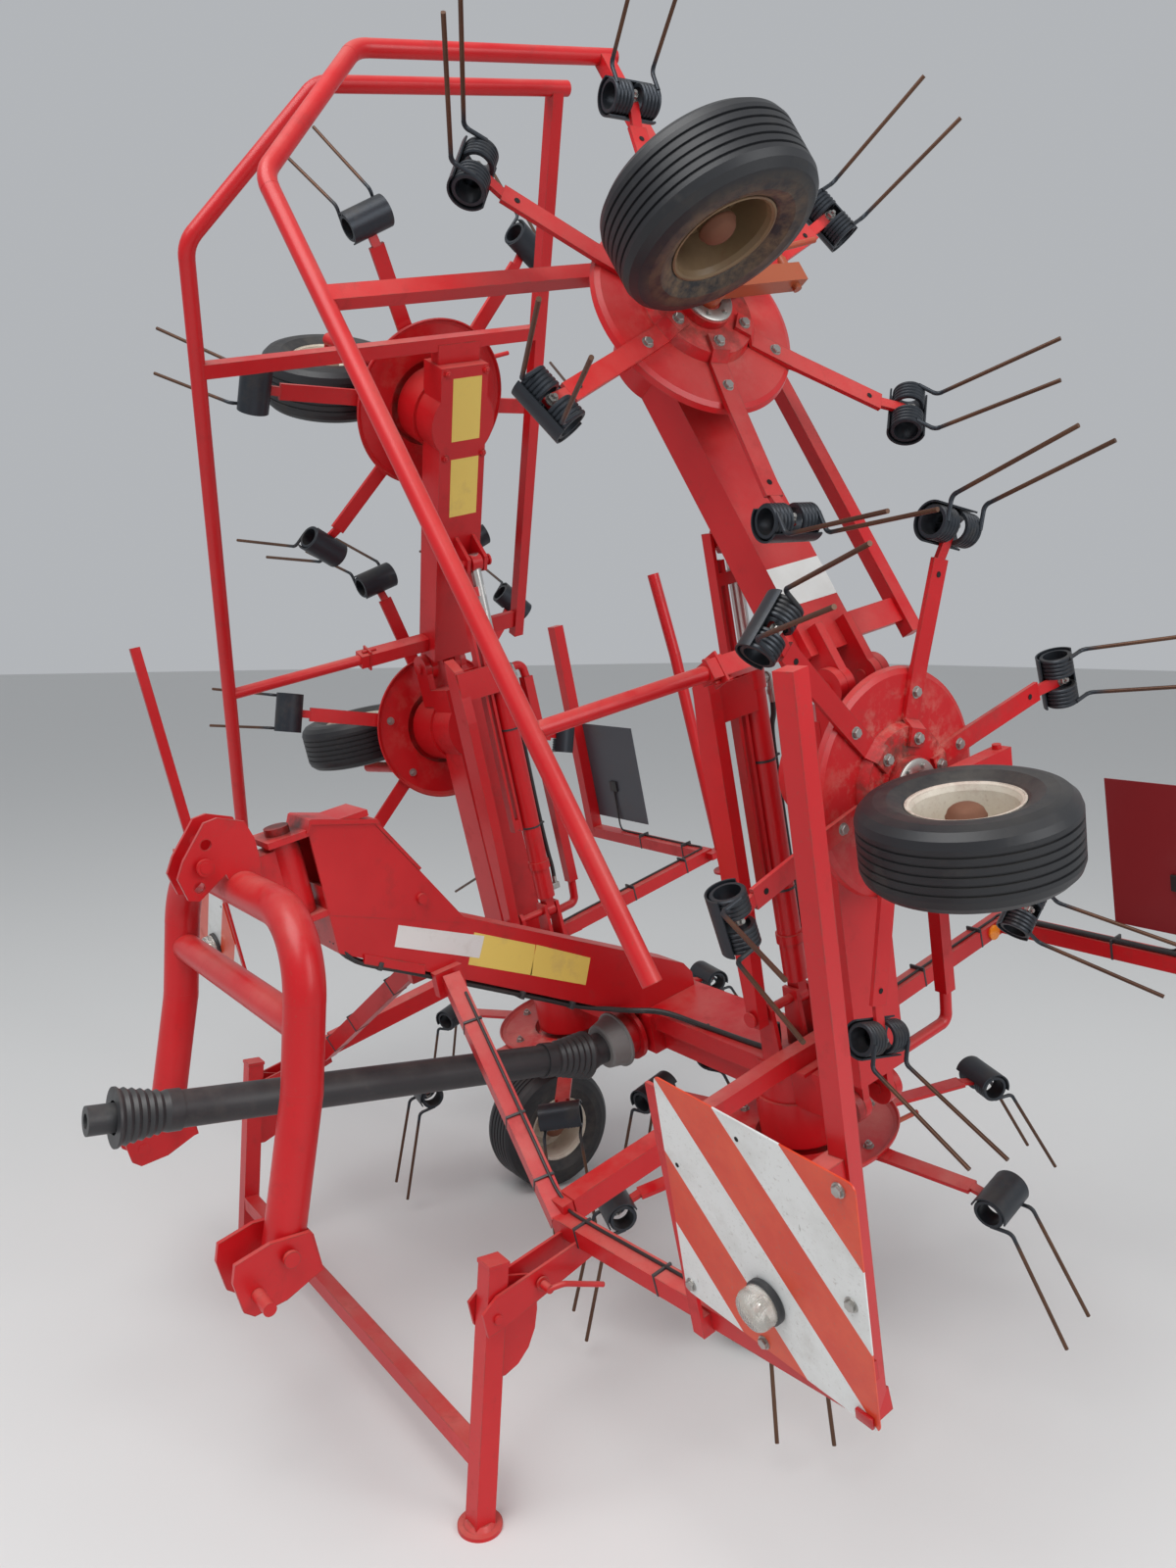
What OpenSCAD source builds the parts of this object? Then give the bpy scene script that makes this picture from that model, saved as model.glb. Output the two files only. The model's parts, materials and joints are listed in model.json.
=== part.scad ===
// Six-rotor mounted hay tedder, folded for transport and parked on its stand.
// Millimetres. +X is the machine's left side, -Y is forward, +Z is up.
// The origin lies on the ground under the middle of the machine's footprint.
// The machine is drawn level, in its working layout, about the centre beam's axis;
// stance() then pitches it forward onto its stand and the fold modules raise the wings.

/* [Rotor line] */
// Distance between neighbouring rotor axes
rotor_pitch = 1100; // [1090:5:1120]
// Distance from the inner rotor's axis out to the first wing hinge
hinge1_offset = 255; // [250:1:262]
// Distance from the middle rotor's axis out to the second wing hinge
hinge2_offset = 225; // [220:1:232]
// How far the second wing hinge lies below the beam axis
hinge2_drop = 90; // [85:1:95]
// Rotor phase of the left inner rotor, in degrees
rotor_phase = 10; // [8:1:12]

/* [Stance] */
// Forward pitch of the machine when parked, in degrees
pitch_deg = 13.27; // [12.5:0.01:14]
// Angle by which an inner wing is raised for transport, in degrees
inner_raise = 88; // [86:0.5:89]
// Further angle by which an outer wing is raised, in degrees
outer_raise = 29.2; // [27:0.1:31]
// Distance of the beam axis behind the middle of the footprint
beam_line_y = 410; // [405:1:415]

/* [Beams] */
// Width of the beam boxes along the direction of travel
beam_w = 160; // [150:2:170]
// Height of the beam boxes
beam_t = 120; // [114:2:126]
// Distance from the last rotor axis to the outer beam's end
beam_tail = 170; // [165:1:175]
// Clear distance between a beam box and the hinge pivot
hinge_reach = 76; // [74:1:80]
// Radius of a wing hinge pin
hinge_pin_r = 15; // [13:0.5:17]
// Radius of a wing hinge ear
hinge_ear_r = 44; // [40:1:46]
// Thickness of a hinge ear
hinge_ear_t = 22; // [20:1:24]
// Height of the outer beam's top face above the beam axis
outer_top = 0; // [-4:1:4]
// Height of the outer beam box
outer_t = 98; // [94:1:104]

/* [Rotors] */
// Radius of the dished rotor disc
disc_r = 255; // [245:1:262]
// Height of the disc's flat ring below the beam axis
disc_drop = 197; // [194:1:200]
// Thickness of the disc sheet
disc_t = 5; // [4:0.5:6]
// Number of tine arms on a rotor
arm_count = 6; // [5:1:6]
// Width of a tine arm
arm_w = 46; // [40:1:50]
// Thickness of a tine arm
arm_t = 10; // [8:0.5:11]
// Radius at which the tine coils sit
tine_r = 550; // [535:1:560]
// Height of the tine coils below the beam axis
tine_drop = 235; // [230:1:240]
// Radius at which the tine tips run
tip_r = 712; // [695:1:715]
// Height of the tine tips below the beam axis
tip_drop = 540; // [520:5:550]
// Outer radius of a tine coil
coil_r = 37; // [34:0.5:39]
// Thickness of the tine wire
wire_d = 9.5; // [8:0.5:10.5]
// Turns in one tine coil
coil_turns = 5; // [4:1:5]
// Radius of the fixed drum above a disc
drum_r = 116; // [110:1:118]

/* [Wheels] */
// Outer radius of the tyre
tyre_r = 205; // [198:1:208]
// Width of the tyre
tyre_w = 165; // [155:1:170]
// Radius of the rim's bead seat
bead_r = 102; // [98:1:106]
// Distance of the wheel axle below the beam axis
wheel_drop = 503; // [498:1:515]
// Distance of the wheel axle ahead of its rotor axis
wheel_lead = 179; // [170:1:185]
// Radius of the wheel axle stub
axle_r = 12; // [11:0.5:14]
// Radius of the bent leg tube
leg_r = 19; // [17:0.5:21]
// Radius of the fixed shaft that carries a rotor and its wheel
column_r = 28; // [26:0.5:30]
// Distance of the wheel's height lever below the hub
lever_gap = 62; // [58:1:66]

/* [Headstock] */
// Radius of the portal tube
arch_r = 44.5; // [40:0.5:47]
// Half the distance between the portal legs
arch_half = 420; // [410:5:430]
// Radius of a lower hitch pin
lower_pin_r = 14; // [11:0.5:14.5]
// Free length of a lower hitch pin
lower_pin_free = 68; // [60:1:75]
// Radius of the top link holes
top_hole_r = 12.85; // [12:0.05:13.2]
// Radius of the swivel pin
swivel_pin_r = 20; // [18:0.5:24]
// Radius of the swivel barrel
swivel_barrel_r = 44; // [40:1:46]

/* [Frames] */
// Width of the square frame tube
tube_w = 46; // [40:1:50]
// Distance of the side bars from the middle
side_bar_x = 650; // [640:1:660]
// Distance of the front frame ahead of the beam axis
front_y = 832; // [828:1:845]
// Distance of the front uprights from the middle
upright_x = 1540; // [1530:1:1550]
// Outward lean of the outer uprights over their height
upright_lean = 50; // [40:1:55]
// Distance of the rear frame behind the beam axis
rear_y = 775; // [770:1:790]
// Distance of the rear uprights from the middle
rear_upright_x = 1360; // [1340:1:1380]
// Width and height of a front marker panel
panel_w = 450; // [420:5:460]
// Thickness of a marker panel
panel_t = 3; // [2:0.5:4]

/* [Stand] */
// Distance of the stand legs from the middle
stand_x = 708; // [700:1:712]
// Radius of a foot disc
foot_r = 48; // [42:1:55]
// Thickness of a foot disc
foot_t = 8; // [6:1:10]
// Radius of the stand's pivot bolt
stand_pin_r = 10; // [8:0.5:12]

/* [Guards] */
// Radius of the guard's round tube
guard_r = 20; // [19.5:0.1:21.2]
// Distance of the guard tube ahead of the beam axis
guard_y = 768; // [764:1:770]
// Width of the square rear rail
rail_w = 36; // [34:0.5:37]
// Distance of the rear rail behind the beam axis
rail_y = 288; // [280:1:296]

/* [Fold cylinders] */
// Outer radius of the cylinder barrel
barrel_r = 31; // [28:0.5:33]
// Radius of the cylinder rod
rod_r = 17; // [15:0.5:20]
// Radius of the cylinder's pins
cyl_pin_r = 12; // [10:0.5:13]

/* [Drive] */
// Radius of the drive shaft's guard tube
shaft_guard_r = 44; // [40:0.5:48]
// Radius of the bore that fits the tractor's stub shaft
stub_bore_r = 17.5; // [17:0.1:18]

/* [Fits] */
// Gap between a pin and the hole that turns on it
run_gap = 0.3; // [0.2:0.05:0.5]
// Gap between pieces that lie against each other
seat_gap = 0.3; // [0.2:0.05:0.5]

/* [Hidden] */
paint = "firebrick";
dark = "dimgray";
lap = 1;
swell = 0.3;
beam_h = tyre_r + wheel_lead * sin(pitch_deg) + wheel_drop * cos(pitch_deg);
rotor1_x = rotor_pitch / 2;
rotor2_x = rotor_pitch * 3 / 2;
rotor3_x = rotor_pitch * 5 / 2;
hinge1_x = rotor1_x + hinge1_offset;
hinge2_x = rotor2_x + hinge2_offset;
outer_end_x = rotor3_x + beam_tail;
half_t = beam_t / 2;
half_w = beam_w / 2;
drum_bottom = disc_drop - disc_t - 6;
hub_drop = disc_drop + 23;

// Small vector helpers
function unit(v) = v / norm(v);
function turn(u, v) = acos(max(-1, min(1, u * v)));
function trim(p, i, bend) =
  let (u = unit(p[i] - p[i - 1]), v = unit(p[i + 1] - p[i])) bend * tan(turn(u, v) / 2);

// Round bar between two points
module bar(a, b, r) {
  d = b - a;
  translate(a) rotate([0, acos(d.z / norm(d)), atan2(d.y, d.x)]) cylinder(h = norm(d), r = r, $fn = 48);
}

// Rectangular bar between two points: wy across, wz up when it lies level
module box_bar(a, b, wy, wz) {
  d = b - a;
  translate(a) rotate([0, -asin(d.z / norm(d)), atan2(d.y, d.x)])
    translate([0, -wy / 2, -wz / 2]) cube([norm(d), wy, wz]);
}

// Round elbow at corner c, from direction u to direction v
module elbow(c, u, v, r, bend) {
  t = bend * tan(turn(u, v) / 2);
  n = unit(v - u * (u * v));
  o = c - u * t + n * bend;
  w = cross(-n, u);
  multmatrix([[-n.x, u.x, w.x, o.x], [-n.y, u.y, w.y, o.y], [-n.z, u.z, w.z, o.z], [0, 0, 0, 1]])
    rotate_extrude(angle = turn(u, v), $fn = 64) translate([bend, 0]) circle(r = r, $fn = 48);
}

// Round tube along points p, with every corner bent to one radius; the bends are a hair thicker
module bent_tube(p, r, bend) {
  n = len(p);
  for (i = [0:n - 2]) {
    u = unit(p[i + 1] - p[i]);
    a = i == 0 ? p[0] : p[i] + u * (trim(p, i, bend) - lap);
    b = i == n - 2 ? p[n - 1] : p[i + 1] - u * (trim(p, i + 1, bend) - lap);
    bar(a, b, r);
  }
  for (i = [1:n - 2]) elbow(p[i], unit(p[i] - p[i - 1]), unit(p[i + 1] - p[i]), r + swell, bend);
}

// Plate of thickness t across X, its outline given in Y and Z, from x outward
module side_plate(x, t, outline) {
  translate([x, 0, 0]) rotate([90, 0, 90]) linear_extrude(t) polygon(outline);
}

// Box from corner a to corner b
module block(a, b) {
  translate(a) cube(b - a);
}

// Placement: parked stance, left and right side, raised wings, rotor stations
module stance() {
  translate([0, beam_line_y, beam_h]) rotate([pitch_deg, 0, 0]) children();
}

module on_side(side) {
  mirror([side == "R" ? 1 : 0, 0, 0]) children();
}

module raise_inner() {
  translate([hinge1_x, 0, 0]) rotate([0, -inner_raise, 0]) translate([-hinge1_x, 0, 0]) children();
}

module raise_outer() {
  raise_inner() translate([hinge2_x, 0, -hinge2_drop]) rotate([0, -outer_raise, 0])
    translate([-hinge2_x, 0, hinge2_drop]) children();
}

module at_station(n, side) {
  stance() on_side(side) {
    if (n == 1) translate([rotor1_x, 0, 0]) children();
    if (n == 2) raise_inner() translate([rotor2_x, 0, 0]) children();
    if (n == 3) raise_outer() translate([rotor3_x, 0, 0]) children();
  }
}

// Phase of each rotor so that neighbours mesh: left side and mirrored right side
function phase_of(n, side) =
  let (own = n == 2 ? 30 - rotor_phase : rotor_phase)
    side == "L" ? own : (n == 2 ? 60 - rotor_phase : own + 30);

// Dished disc with its hub and the bent tine arms
module rotor(n, side) {
  z1 = -disc_drop;
  z0 = z1 - 23;
  color(paint) at_station(n, side) difference() {
    union() {
      rotate_extrude($fn = 96) polygon([[40, z0], [128, z0], [137, z1], [disc_r - 17, z1],
        [disc_r - 5, z1 + 5],
        [disc_r, z1 + 17], [disc_r - 4, z1 + 19], [disc_r - 9, z1 + 10], [disc_r - 19, z1 + disc_t],
        [132, z1 + disc_t], [123, z0 + disc_t], [60, z0 + disc_t], [60, z1 - 1], [40, z1 - 1]]);
      translate([0, 0, z0 - 20]) cylinder(h = 22, r = 66, $fn = 64);
      for (i = [0:arm_count - 1]) rotate([0, 0, phase_of(n, side) + i * 360 / arm_count]) arm(z0, z1);
    }
    translate([0, 0, z0 - 40]) cylinder(h = 80, r = column_r + run_gap, $fn = 64);
  }
}

module arm(z0, z1) {
  end_z = -tine_drop + arm_t / 2;
  rotate([90, 0, 0]) translate([0, 0, -arm_w / 2]) linear_extrude(arm_w)
    polygon([[84, z0 + 1], [122, z0 + 1], [142, z1 + 1], [238, z1 + 1], [262, z1 - 3],
      [tine_r - coil_r - 30, end_z + 15], [tine_r - coil_r - 30, end_z + 15 - arm_t],
      [262, z1 - 3 - arm_t], [142, z1 + 1 - arm_t],
      [124, z0 + 1 - arm_t], [84, z0 + 1 - arm_t]]);
  tongue_w = arm_w - 20;
  rotate([90, 0, 0]) translate([0, 0, -tongue_w / 2]) linear_extrude(tongue_w)
    polygon([[tine_r - coil_r - 32, end_z + 16], [tine_r - 16, end_z], [tine_r + 12, end_z],
      [tine_r + 12, end_z - arm_t], [tine_r - 16, end_z - arm_t],
        [tine_r - coil_r - 32, end_z + 16 - arm_t]]);
}

// Double spring tines with the saddle that covers each pair of coils
module tines(n, side) {
  color(dark) at_station(n, side)
    for (i = [0:arm_count - 1]) rotate([0, 0, phase_of(n, side) + i * 360 / arm_count])
      translate([tine_r, 0, -tine_drop]) spring_tine();
}

module spring_tine() {
  inner = arm_w / 2 - 10 + seat_gap;
  coil_l = coil_turns * wire_d;
  half_l = inner + coil_l + 3;
  for (s = [-1, 1]) {
    translate([0, s * (inner + coil_l / 2) + coil_l / 2, 0]) rotate([90, 0, 0]) coil(coil_l);
    leg_y = s * (inner + coil_l - wire_d / 2 - 1);
    knee = [52, leg_y, -coil_r];
    tip = [tip_r - tine_r, leg_y * 1.15, tine_drop - tip_drop];
    bent_tube([[0, leg_y, 2 - coil_r], knee, tip], wire_d / 2, 18);
  }
  bridge_z = coil_r - wire_d / 2;
  bar([0, -inner - 2, bridge_z], [0, inner + 2, bridge_z], wire_d / 2 - 0.5);
  translate([0, half_l, 0]) rotate([90, 0, 0]) rotate([0, 0, -22]) linear_extrude(2 * half_l) difference() {
    circle(r = coil_r + 7, $fn = 64);
    circle(r = coil_r + 3, $fn = 64);
    translate([-2 * coil_r, -4 * coil_r]) square([4 * coil_r, 4 * coil_r]);
  }
  translate([0, 0, arm_t / 2 + seat_gap]) cylinder(h = coil_r + 5 - arm_t / 2 - seat_gap, r = 9, $fn = 32);
}

// Wound coil as a hollow tube with one rib for each turn
module coil(l) {
  notch = wire_d * 0.28;
  rotate_extrude($fn = 48) polygon(concat([for (i = [0:coil_turns - 1]) each [[coil_r - notch, i * wire_d],
    [coil_r, i * wire_d + notch], [coil_r, (i + 1) * wire_d - notch]]],
    [[coil_r - notch, l], [coil_r - wire_d, l], [coil_r - wire_d, 0]]));
}

// Wheel leg: fixed column under the rotor, height lever and bent tube down to the axle
module leg(n, side) {
  out = n == 2 ? -1 : 1;
  z_lever = -hub_drop - lever_gap;
  leg_x = out * (tyre_w / 2 + leg_r + 17);
  color(paint) at_station(n, side) {
    translate([0, 0, z_lever - 22]) cylinder(h = -drum_bottom - z_lever + 22, r = column_r, $fn = 64);
    block([-23, -45, z_lever - 20], [23, 250, z_lever + 20]);
    bent_tube([[out * 15, -12, z_lever], [leg_x, -150, z_lever - 30], [leg_x, -wheel_lead, -wheel_drop]],
      leg_r, 55);
    bar([leg_x, -wheel_lead, -wheel_drop], [-out * 34, -wheel_lead, -wheel_drop], axle_r);
    bar([-out * 34, 226, z_lever], [out * 48, 226, z_lever], 10);
    bent_tube([[out * 30, 226, z_lever], [out * 75, 226, z_lever], [out * 85, 350, z_lever - 10]], 7, 20);
  }
}

// Ribbed implement tyre, about the wheel axle; groove rows: along the axle, depth
groove = [[-3, 0], [-1.5, 4], [1.5, 4], [3, 0]];
groove_pitch = (tyre_w - 82) / 4.6;

module tyre(n, side) {
  h = tyre_w / 2;
  color("black") at_wheel(n, side) rotate_extrude($fn = 96)
    polygon([[bead_r, -h + 22], [bead_r + 14, -h + 12],
    [bead_r + 40, -h], [tyre_r - 38, -h], [tyre_r - 18, -h + 6], [tyre_r - 5, -h + 19], [tyre_r, -h + 34],
    for (g = [-2:2]) for (k = groove) [tyre_r - k[1], g * groove_pitch + k[0]],
    [tyre_r, h - 34], [tyre_r - 5, h - 19], [tyre_r - 18, h - 6], [tyre_r - 38, h], [bead_r + 40, h],
    [bead_r + 14, h - 12], [bead_r, h - 22]]);
}

module at_wheel(n, side) {
  at_station(n, side) translate([0, -wheel_lead, -wheel_drop]) rotate([0, n == 2 ? 90 : -90, 0]) children();
}

// Pressed rim with its hub; the dished face looks away from the leg
module rim(n, side) {
  h = tyre_w / 2 - 22;
  r = bead_r - seat_gap;
  color("ivory") at_wheel(n, side) rotate_extrude($fn = 96)
    polygon([[axle_r + run_gap, -h + 5], [32, -h + 5],
    [32, -14], [58, -14], [76, -30], [r - 5, -30], [r - 5, -h + 6], [r - 1, -h - 5], [r + 4, -h - 9],
    [r + 8, -h - 8.5], [r + 8, -h - 6.1], [r, -h - 0.4], [r, h + 0.4], [r + 8, h + 6.1],
    [r + 8, h + 8.5], [r + 4, h + 9], [r - 1, h + 5], [r - 5, h - 6], [r - 5, -24],
    [79, -24], [61, -8], [36, -8], [36, h - 20], [32, h - 10], [20, h - 1], [0, h + 2], [0, h - 23],
    [axle_r + run_gap, h - 23]]);
}

// Headstock: bent portal tube, cross tube, top link plates, hitch brackets and swivel barrel
arch_top_y = -1135;
arch_top_z = 830;
swivel_y = -1010;
swivel_low = 716;
swivel_high = 904;
top_hole_y = [-1231, -1211, -1191];
top_hole_z = [870, 915, 960];
hitch_pin_y = -1452;
hitch_pin_z = 142;

module headstock() {
  color(paint) stance() difference() {
    union() {
      bent_tube([for (s = [-1, 1]) for (k = s < 0 ? [0, 1, 2] : [2, 1, 0]) [s * arch_half,
        [-1370, -1240, arch_top_y][k], [165, 480, arch_top_z][k]]], arch_r, 170);
      bar([-arch_half, -1198, 610], [arch_half, -1198, 610], 36);
      translate([0, swivel_y, swivel_low]) cylinder(h = swivel_high - swivel_low, r = swivel_barrel_r,
        $fn = 64);
      block([-34, arch_top_y, arch_top_z - 40], [34, swivel_y, arch_top_z + 60]);
      for (s = [-1, 1]) {
        side_plate(s * 40 - 6, 12, [[-1100, 790], [-1080, 880], [-1080, 940], [-1092, 985], [-1150, 1012],
          [-1182, 1010],
          [-1250, 940], [-1272, 905], [-1262, 850], [-1238, 840], [-1165, 880], [-1150, 800]]);
        for (e = [-1, 1]) side_plate(s * arch_half + e * 52 - 6, 12,
          [[-1316, 212], [-1400, 232], [-1478, 226],
          [-1492, 190], [-1488, 120], [-1470, 100], [-1400, 96], [-1316, 118]]);
        bar([s * arch_half - 70, -1372, 186], [s * arch_half + 70, -1372, 186], 12);
        bar([s * arch_half - 78, -1372, 186], [s * arch_half - 68, -1372, 186], 18);
        bar([s * arch_half + 68, -1372, 186], [s * arch_half + 78, -1372, 186], 18);
        block([s * arch_half - 50, -1350, 112], [s * arch_half + 50, -1310, 200]);
        bar([s * (arch_half - 60), hitch_pin_y, hitch_pin_z],
          [s * (arch_half + 58 + lower_pin_free), hitch_pin_y, hitch_pin_z], lower_pin_r);
      }
      bar([-72, top_hole_y[1], top_hole_z[1]], [72, top_hole_y[1], top_hole_z[1]], top_hole_r + 0.4);
      bar([60, top_hole_y[1], top_hole_z[1]], [70, top_hole_y[1], top_hole_z[1]], 20);
      block([-36, -1150, 896], [36, swivel_y - 67, 936]);
    }
    translate([0, swivel_y, swivel_low - 1]) cylinder(h = 200, r = swivel_pin_r + run_gap, $fn = 64);
    for (k = [0, 2]) bar([-60, top_hole_y[k], top_hole_z[k]], [60, top_hole_y[k], top_hole_z[k]],
      top_hole_r);
  }
}

// Main beam from the swivel fork down to the centre beam
module main_beam() {
  color(paint) stance() {
    side_plate(-62, 124, [[-960, 600], [-150, 74], [-86, half_t + 8 + seat_gap],
      [86, half_t + 8 + seat_gap],
      [86, 110], [60, 150], [-960, 775]]);
    for (s = [-1, 1]) {
      side_plate(s * 59 - 4, 8, [[-958, 700], [-958, 921], [-945, 935], [-790, 884], [-600, 540]]);
      side_plate(s * 65 - 4, 8, [[-908, 552], [-900, 574], [-750, 482], [-758, 460]]);
      bar([s * 60, -715, 653], [s * 74, -715, 653], 14);
    }
    side_plate(-68, 136, [[-964, 914], [-950, 942], [-944, 943], [-781, 889], [-776, 876], [-948, 930],
      [-956, 914]]);
    side_plate(-66, 132, [[-793, 884], [-785, 888], [-697, 730], [-704, 726]]);
    block([-63, -1060, swivel_high + seat_gap], [63, -800, swivel_high + 16]);
    bar([0, swivel_y, swivel_high + 10], [0, swivel_y, swivel_high + 34], 30);
    block([-61, -1060, swivel_low - 16], [61, -930, swivel_low - seat_gap]);
    translate([0, swivel_y, swivel_low - 20]) cylinder(h = swivel_high - swivel_low + 44, r = swivel_pin_r,
      $fn = 64);
  }
}

// Centre beam with the two inner gearboxes, the drums and the hinge ears
module centre_beam() {
  box_end = hinge1_x - hinge_reach;
  color(paint) stance() {
    difference() {
      union() {
        block([-box_end, -half_w, -half_t], [box_end, half_w, half_t]);
        block([-700, -half_w - 25, half_t - 2], [700, half_w + 25, half_t + 8]);
        for (s = [-1, 1]) {
          translate([s * rotor1_x, 0, -drum_bottom])
            cylinder(h = drum_bottom - half_t + 4, r = drum_r, $fn = 64);
          translate([s * rotor1_x, 0, -half_t]) cylinder(h = beam_t, r = 108, $fn = 64);
          for (e = [-1, 1]) ear(s * hinge1_x, e * (half_w - 1 - hinge_ear_t / 2), hinge_ear_t,
            -s * (hinge_reach + 10), 0);
          for (e = [-1, 1]) bar([s * hinge1_x, e * (half_w - 2 * hinge_ear_t - 6), 0],
            [s * hinge1_x, e * (half_w + 8), 0], hinge_pin_r);
          for (e = [-1, 1]) translate([s * cyl_base.x, cyl_base.y + e * 24 + 6, 0]) rotate([90, 0, 0])
            linear_extrude(12) polygon([[-36, half_t + 6], [36, half_t + 6], [25, 236], [-25, 236]]);
          side_plate_x(s * cyl_base.x, -half_w - 24, 12, cyl_base.z);
          bar([s * cyl_base.x, post_front - 9, cyl_base.z], [s * cyl_base.x, cyl_base.y + 38, cyl_base.z],
            cyl_pin_r);
          bar([s * cyl_base.x, post_front - 12, cyl_base.z], [s * cyl_base.x, post_front - 6, cyl_base.z],
            20);
        }
        block([-600, -half_w - 25, 12], [600, -half_w - 19, half_t + 2]);
        block([-600, half_w + 19, 12], [600, half_w + 25, half_t + 2]);
        for (s = [-1, 1]) for (x = [120, 600]) block([s * x - 4, -half_w - 20, 16],
          [s * x + 4, half_w + 20, half_t]);
        bar([0, -half_w + 5, -10], [0, -half_w - 105, -10], 62);
        bar([0, -half_w - 52, -10], [0, -half_w - 66, -10], 81);
        block([-95, -half_w - 40, -half_t], [95, half_w, half_t]);
      }
    }
  }
}

// Upright plate across the beam that carries a cylinder pin at height z
module side_plate_x(x, y, t, z) {
  translate([x, y + t, 0]) rotate([90, 0, 0]) linear_extrude(t)
    polygon([[-36, half_t + 6], [36, half_t + 6],
    [25, z + 8], [14, z + 26], [-14, z + 26], [-25, z + 8]]);
}

// Hinge ear: a disc about the pivot with a shank back to its box
module ear(x, y, t, reach, z) {
  translate([x, y + t / 2, z]) rotate([90, 0, 0]) cylinder(h = t, r = hinge_ear_r, $fn = 64);
  block([min(x, x + reach), y - t / 2, z - hinge_ear_r + 6],
    [max(x, x + reach), y + t / 2, z + hinge_ear_r - 6]);
}

module ear_bored(x, y, t, reach, z) {
  difference() {
    ear(x, y, t, reach, z);
    translate([x, y + t, z]) rotate([90, 0, 0]) cylinder(h = 2 * t, r = hinge_pin_r + run_gap, $fn = 64);
  }
}

// Inner wing beam: casting, tapered box, drum and the second hinge's ears
module inner_beam(side) {
  x0 = hinge1_x + hinge_reach;
  x1 = hinge2_x - hinge_reach;
  ear_y = half_w - 2 - hinge_ear_t * 3 / 2;
  color(paint) stance() on_side(side) raise_inner() {
    block([x0, -half_w, -half_t], [x1, half_w, half_t]);
    for (e = [-1, 1]) ear_bored(hinge1_x, e * ear_y, hinge_ear_t, hinge_reach + 10, 0);
    translate([rotor2_x, 0, -drum_bottom]) cylinder(h = drum_bottom - half_t + 4, r = drum_r, $fn = 64);
    translate([rotor2_x, 0, -half_t]) cylinder(h = beam_t, r = 108, $fn = 64);
    for (e = [-1, 1]) {
      ear(hinge2_x, e * (half_w - 1 - hinge_ear_t / 2), hinge_ear_t, -hinge_reach - 10, -hinge2_drop);
      block([x1 - 60, e * (half_w - 1 - hinge_ear_t / 2) - hinge_ear_t / 2, -hinge2_drop - 38],
        [x1, e * (half_w - 1 - hinge_ear_t / 2) + hinge_ear_t / 2, -half_t + 5]);
      bar([hinge2_x, e * (half_w - 2 * hinge_ear_t - 6), -hinge2_drop],
        [hinge2_x, e * (half_w + 8), -hinge2_drop], hinge_pin_r);
    }
    box_bar([x0 + 96, rail_y, -30], [x1 - 44, rail_y, -30], rail_w, rail_w);
    for (e = [0, 1]) bent_tube([[e > 0 ? x1 - 45 : x0 + 97, rail_y, -30],
      [e > 0 ? x1 + 4 : x0 + 12, rail_y - 6, -30],
      [e > 0 ? x1 - 2 : x0 + 4, half_w - 4, -24]], rail_w / 2 - 3, 26);
  }
}

// Outer wing beam with its drum, end plate and the lug for the fold cylinder
lug_x = 446;
lug_z = 58;

module outer_beam(side) {
  x0 = hinge2_x + hinge_reach;
  ear_y = half_w - 2 - hinge_ear_t * 3 / 2;
  color(paint) stance() on_side(side) raise_outer() {
    block([x0, -half_w, outer_top - outer_t], [outer_end_x, half_w, outer_top]);
    for (e = [-1, 1]) {
      ear_bored(hinge2_x, e * ear_y, hinge_ear_t, hinge_reach + 10, -hinge2_drop);
      block([x0, e * ear_y - hinge_ear_t / 2, -hinge2_drop - 38],
        [x0 + 60, e * ear_y + hinge_ear_t / 2, outer_top - outer_t + 5]);
    }
    translate([rotor3_x, 0, -drum_bottom]) cylinder(h = drum_bottom + outer_top - outer_t + 4, r = drum_r,
      $fn = 64);
    translate([rotor3_x, 0, outer_top - outer_t]) cylinder(h = outer_t, r = 108, $fn = 64);
    for (e = [-1, 1]) {
      translate([hinge2_x + lug_x, cyl_base.y + e * 31 + 6, 0]) rotate([90, 0, 0]) linear_extrude(12)
        polygon([[-70, outer_top - 3], [70, outer_top - 3], [24, lug_z + 22], [-24, lug_z + 22]]);
      bar([hinge2_x + lug_x, cyl_base.y + e * 18.5, lug_z], [hinge2_x + lug_x, cyl_base.y + e * 56, lug_z],
        cyl_pin_r);
      bar([hinge2_x + lug_x, cyl_base.y + e * 50, lug_z], [hinge2_x + lug_x, cyl_base.y + e * 56, lug_z],
        18);
    }
  }
}

// Guard: bent round tube in front, end tube, square rear rail and the arms to the beam
module guard(side) {
  z = -55;
  x_in = hinge2_x - 390;
  x_bend = hinge2_x + 1402;
  x_end = hinge2_x + 1738;
  arm_x = outer_end_x + 55;
  branch_x = hinge2_x + 125;
  color(paint) stance() on_side(side) raise_outer() {
    bent_tube([[x_in, -guard_y, z], [x_bend, -guard_y, z], [x_end, -412, z], [x_end, rail_y + 40, z]],
      guard_r, 80);
    box_bar([hinge2_x + 60, rail_y, z], [x_end, rail_y, z], rail_w, rail_w);
    box_bar([arm_x, -guard_y, z], [arm_x, rail_y, z], rail_w, rail_w);
    block([outer_end_x + seat_gap, -70, z - 20], [arm_x, 70, z + 20]);
    bar([branch_x, -guard_y, z], [branch_x, -300, z], 17);
    for (e = [-1, 1]) bar([branch_x + e * 26, -318, z], [branch_x + e * 26, -270, z], 5);
    block([branch_x - 34, -302, z - 24], [branch_x + 34, -296, z + 24]);
    box_bar([branch_x, -330, z], [branch_x, -half_w - seat_gap, z], 44, 44);
    block([branch_x - 30, half_w + seat_gap, z - 8], [branch_x + 30, rail_y, z + 8]);
  }
}

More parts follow.
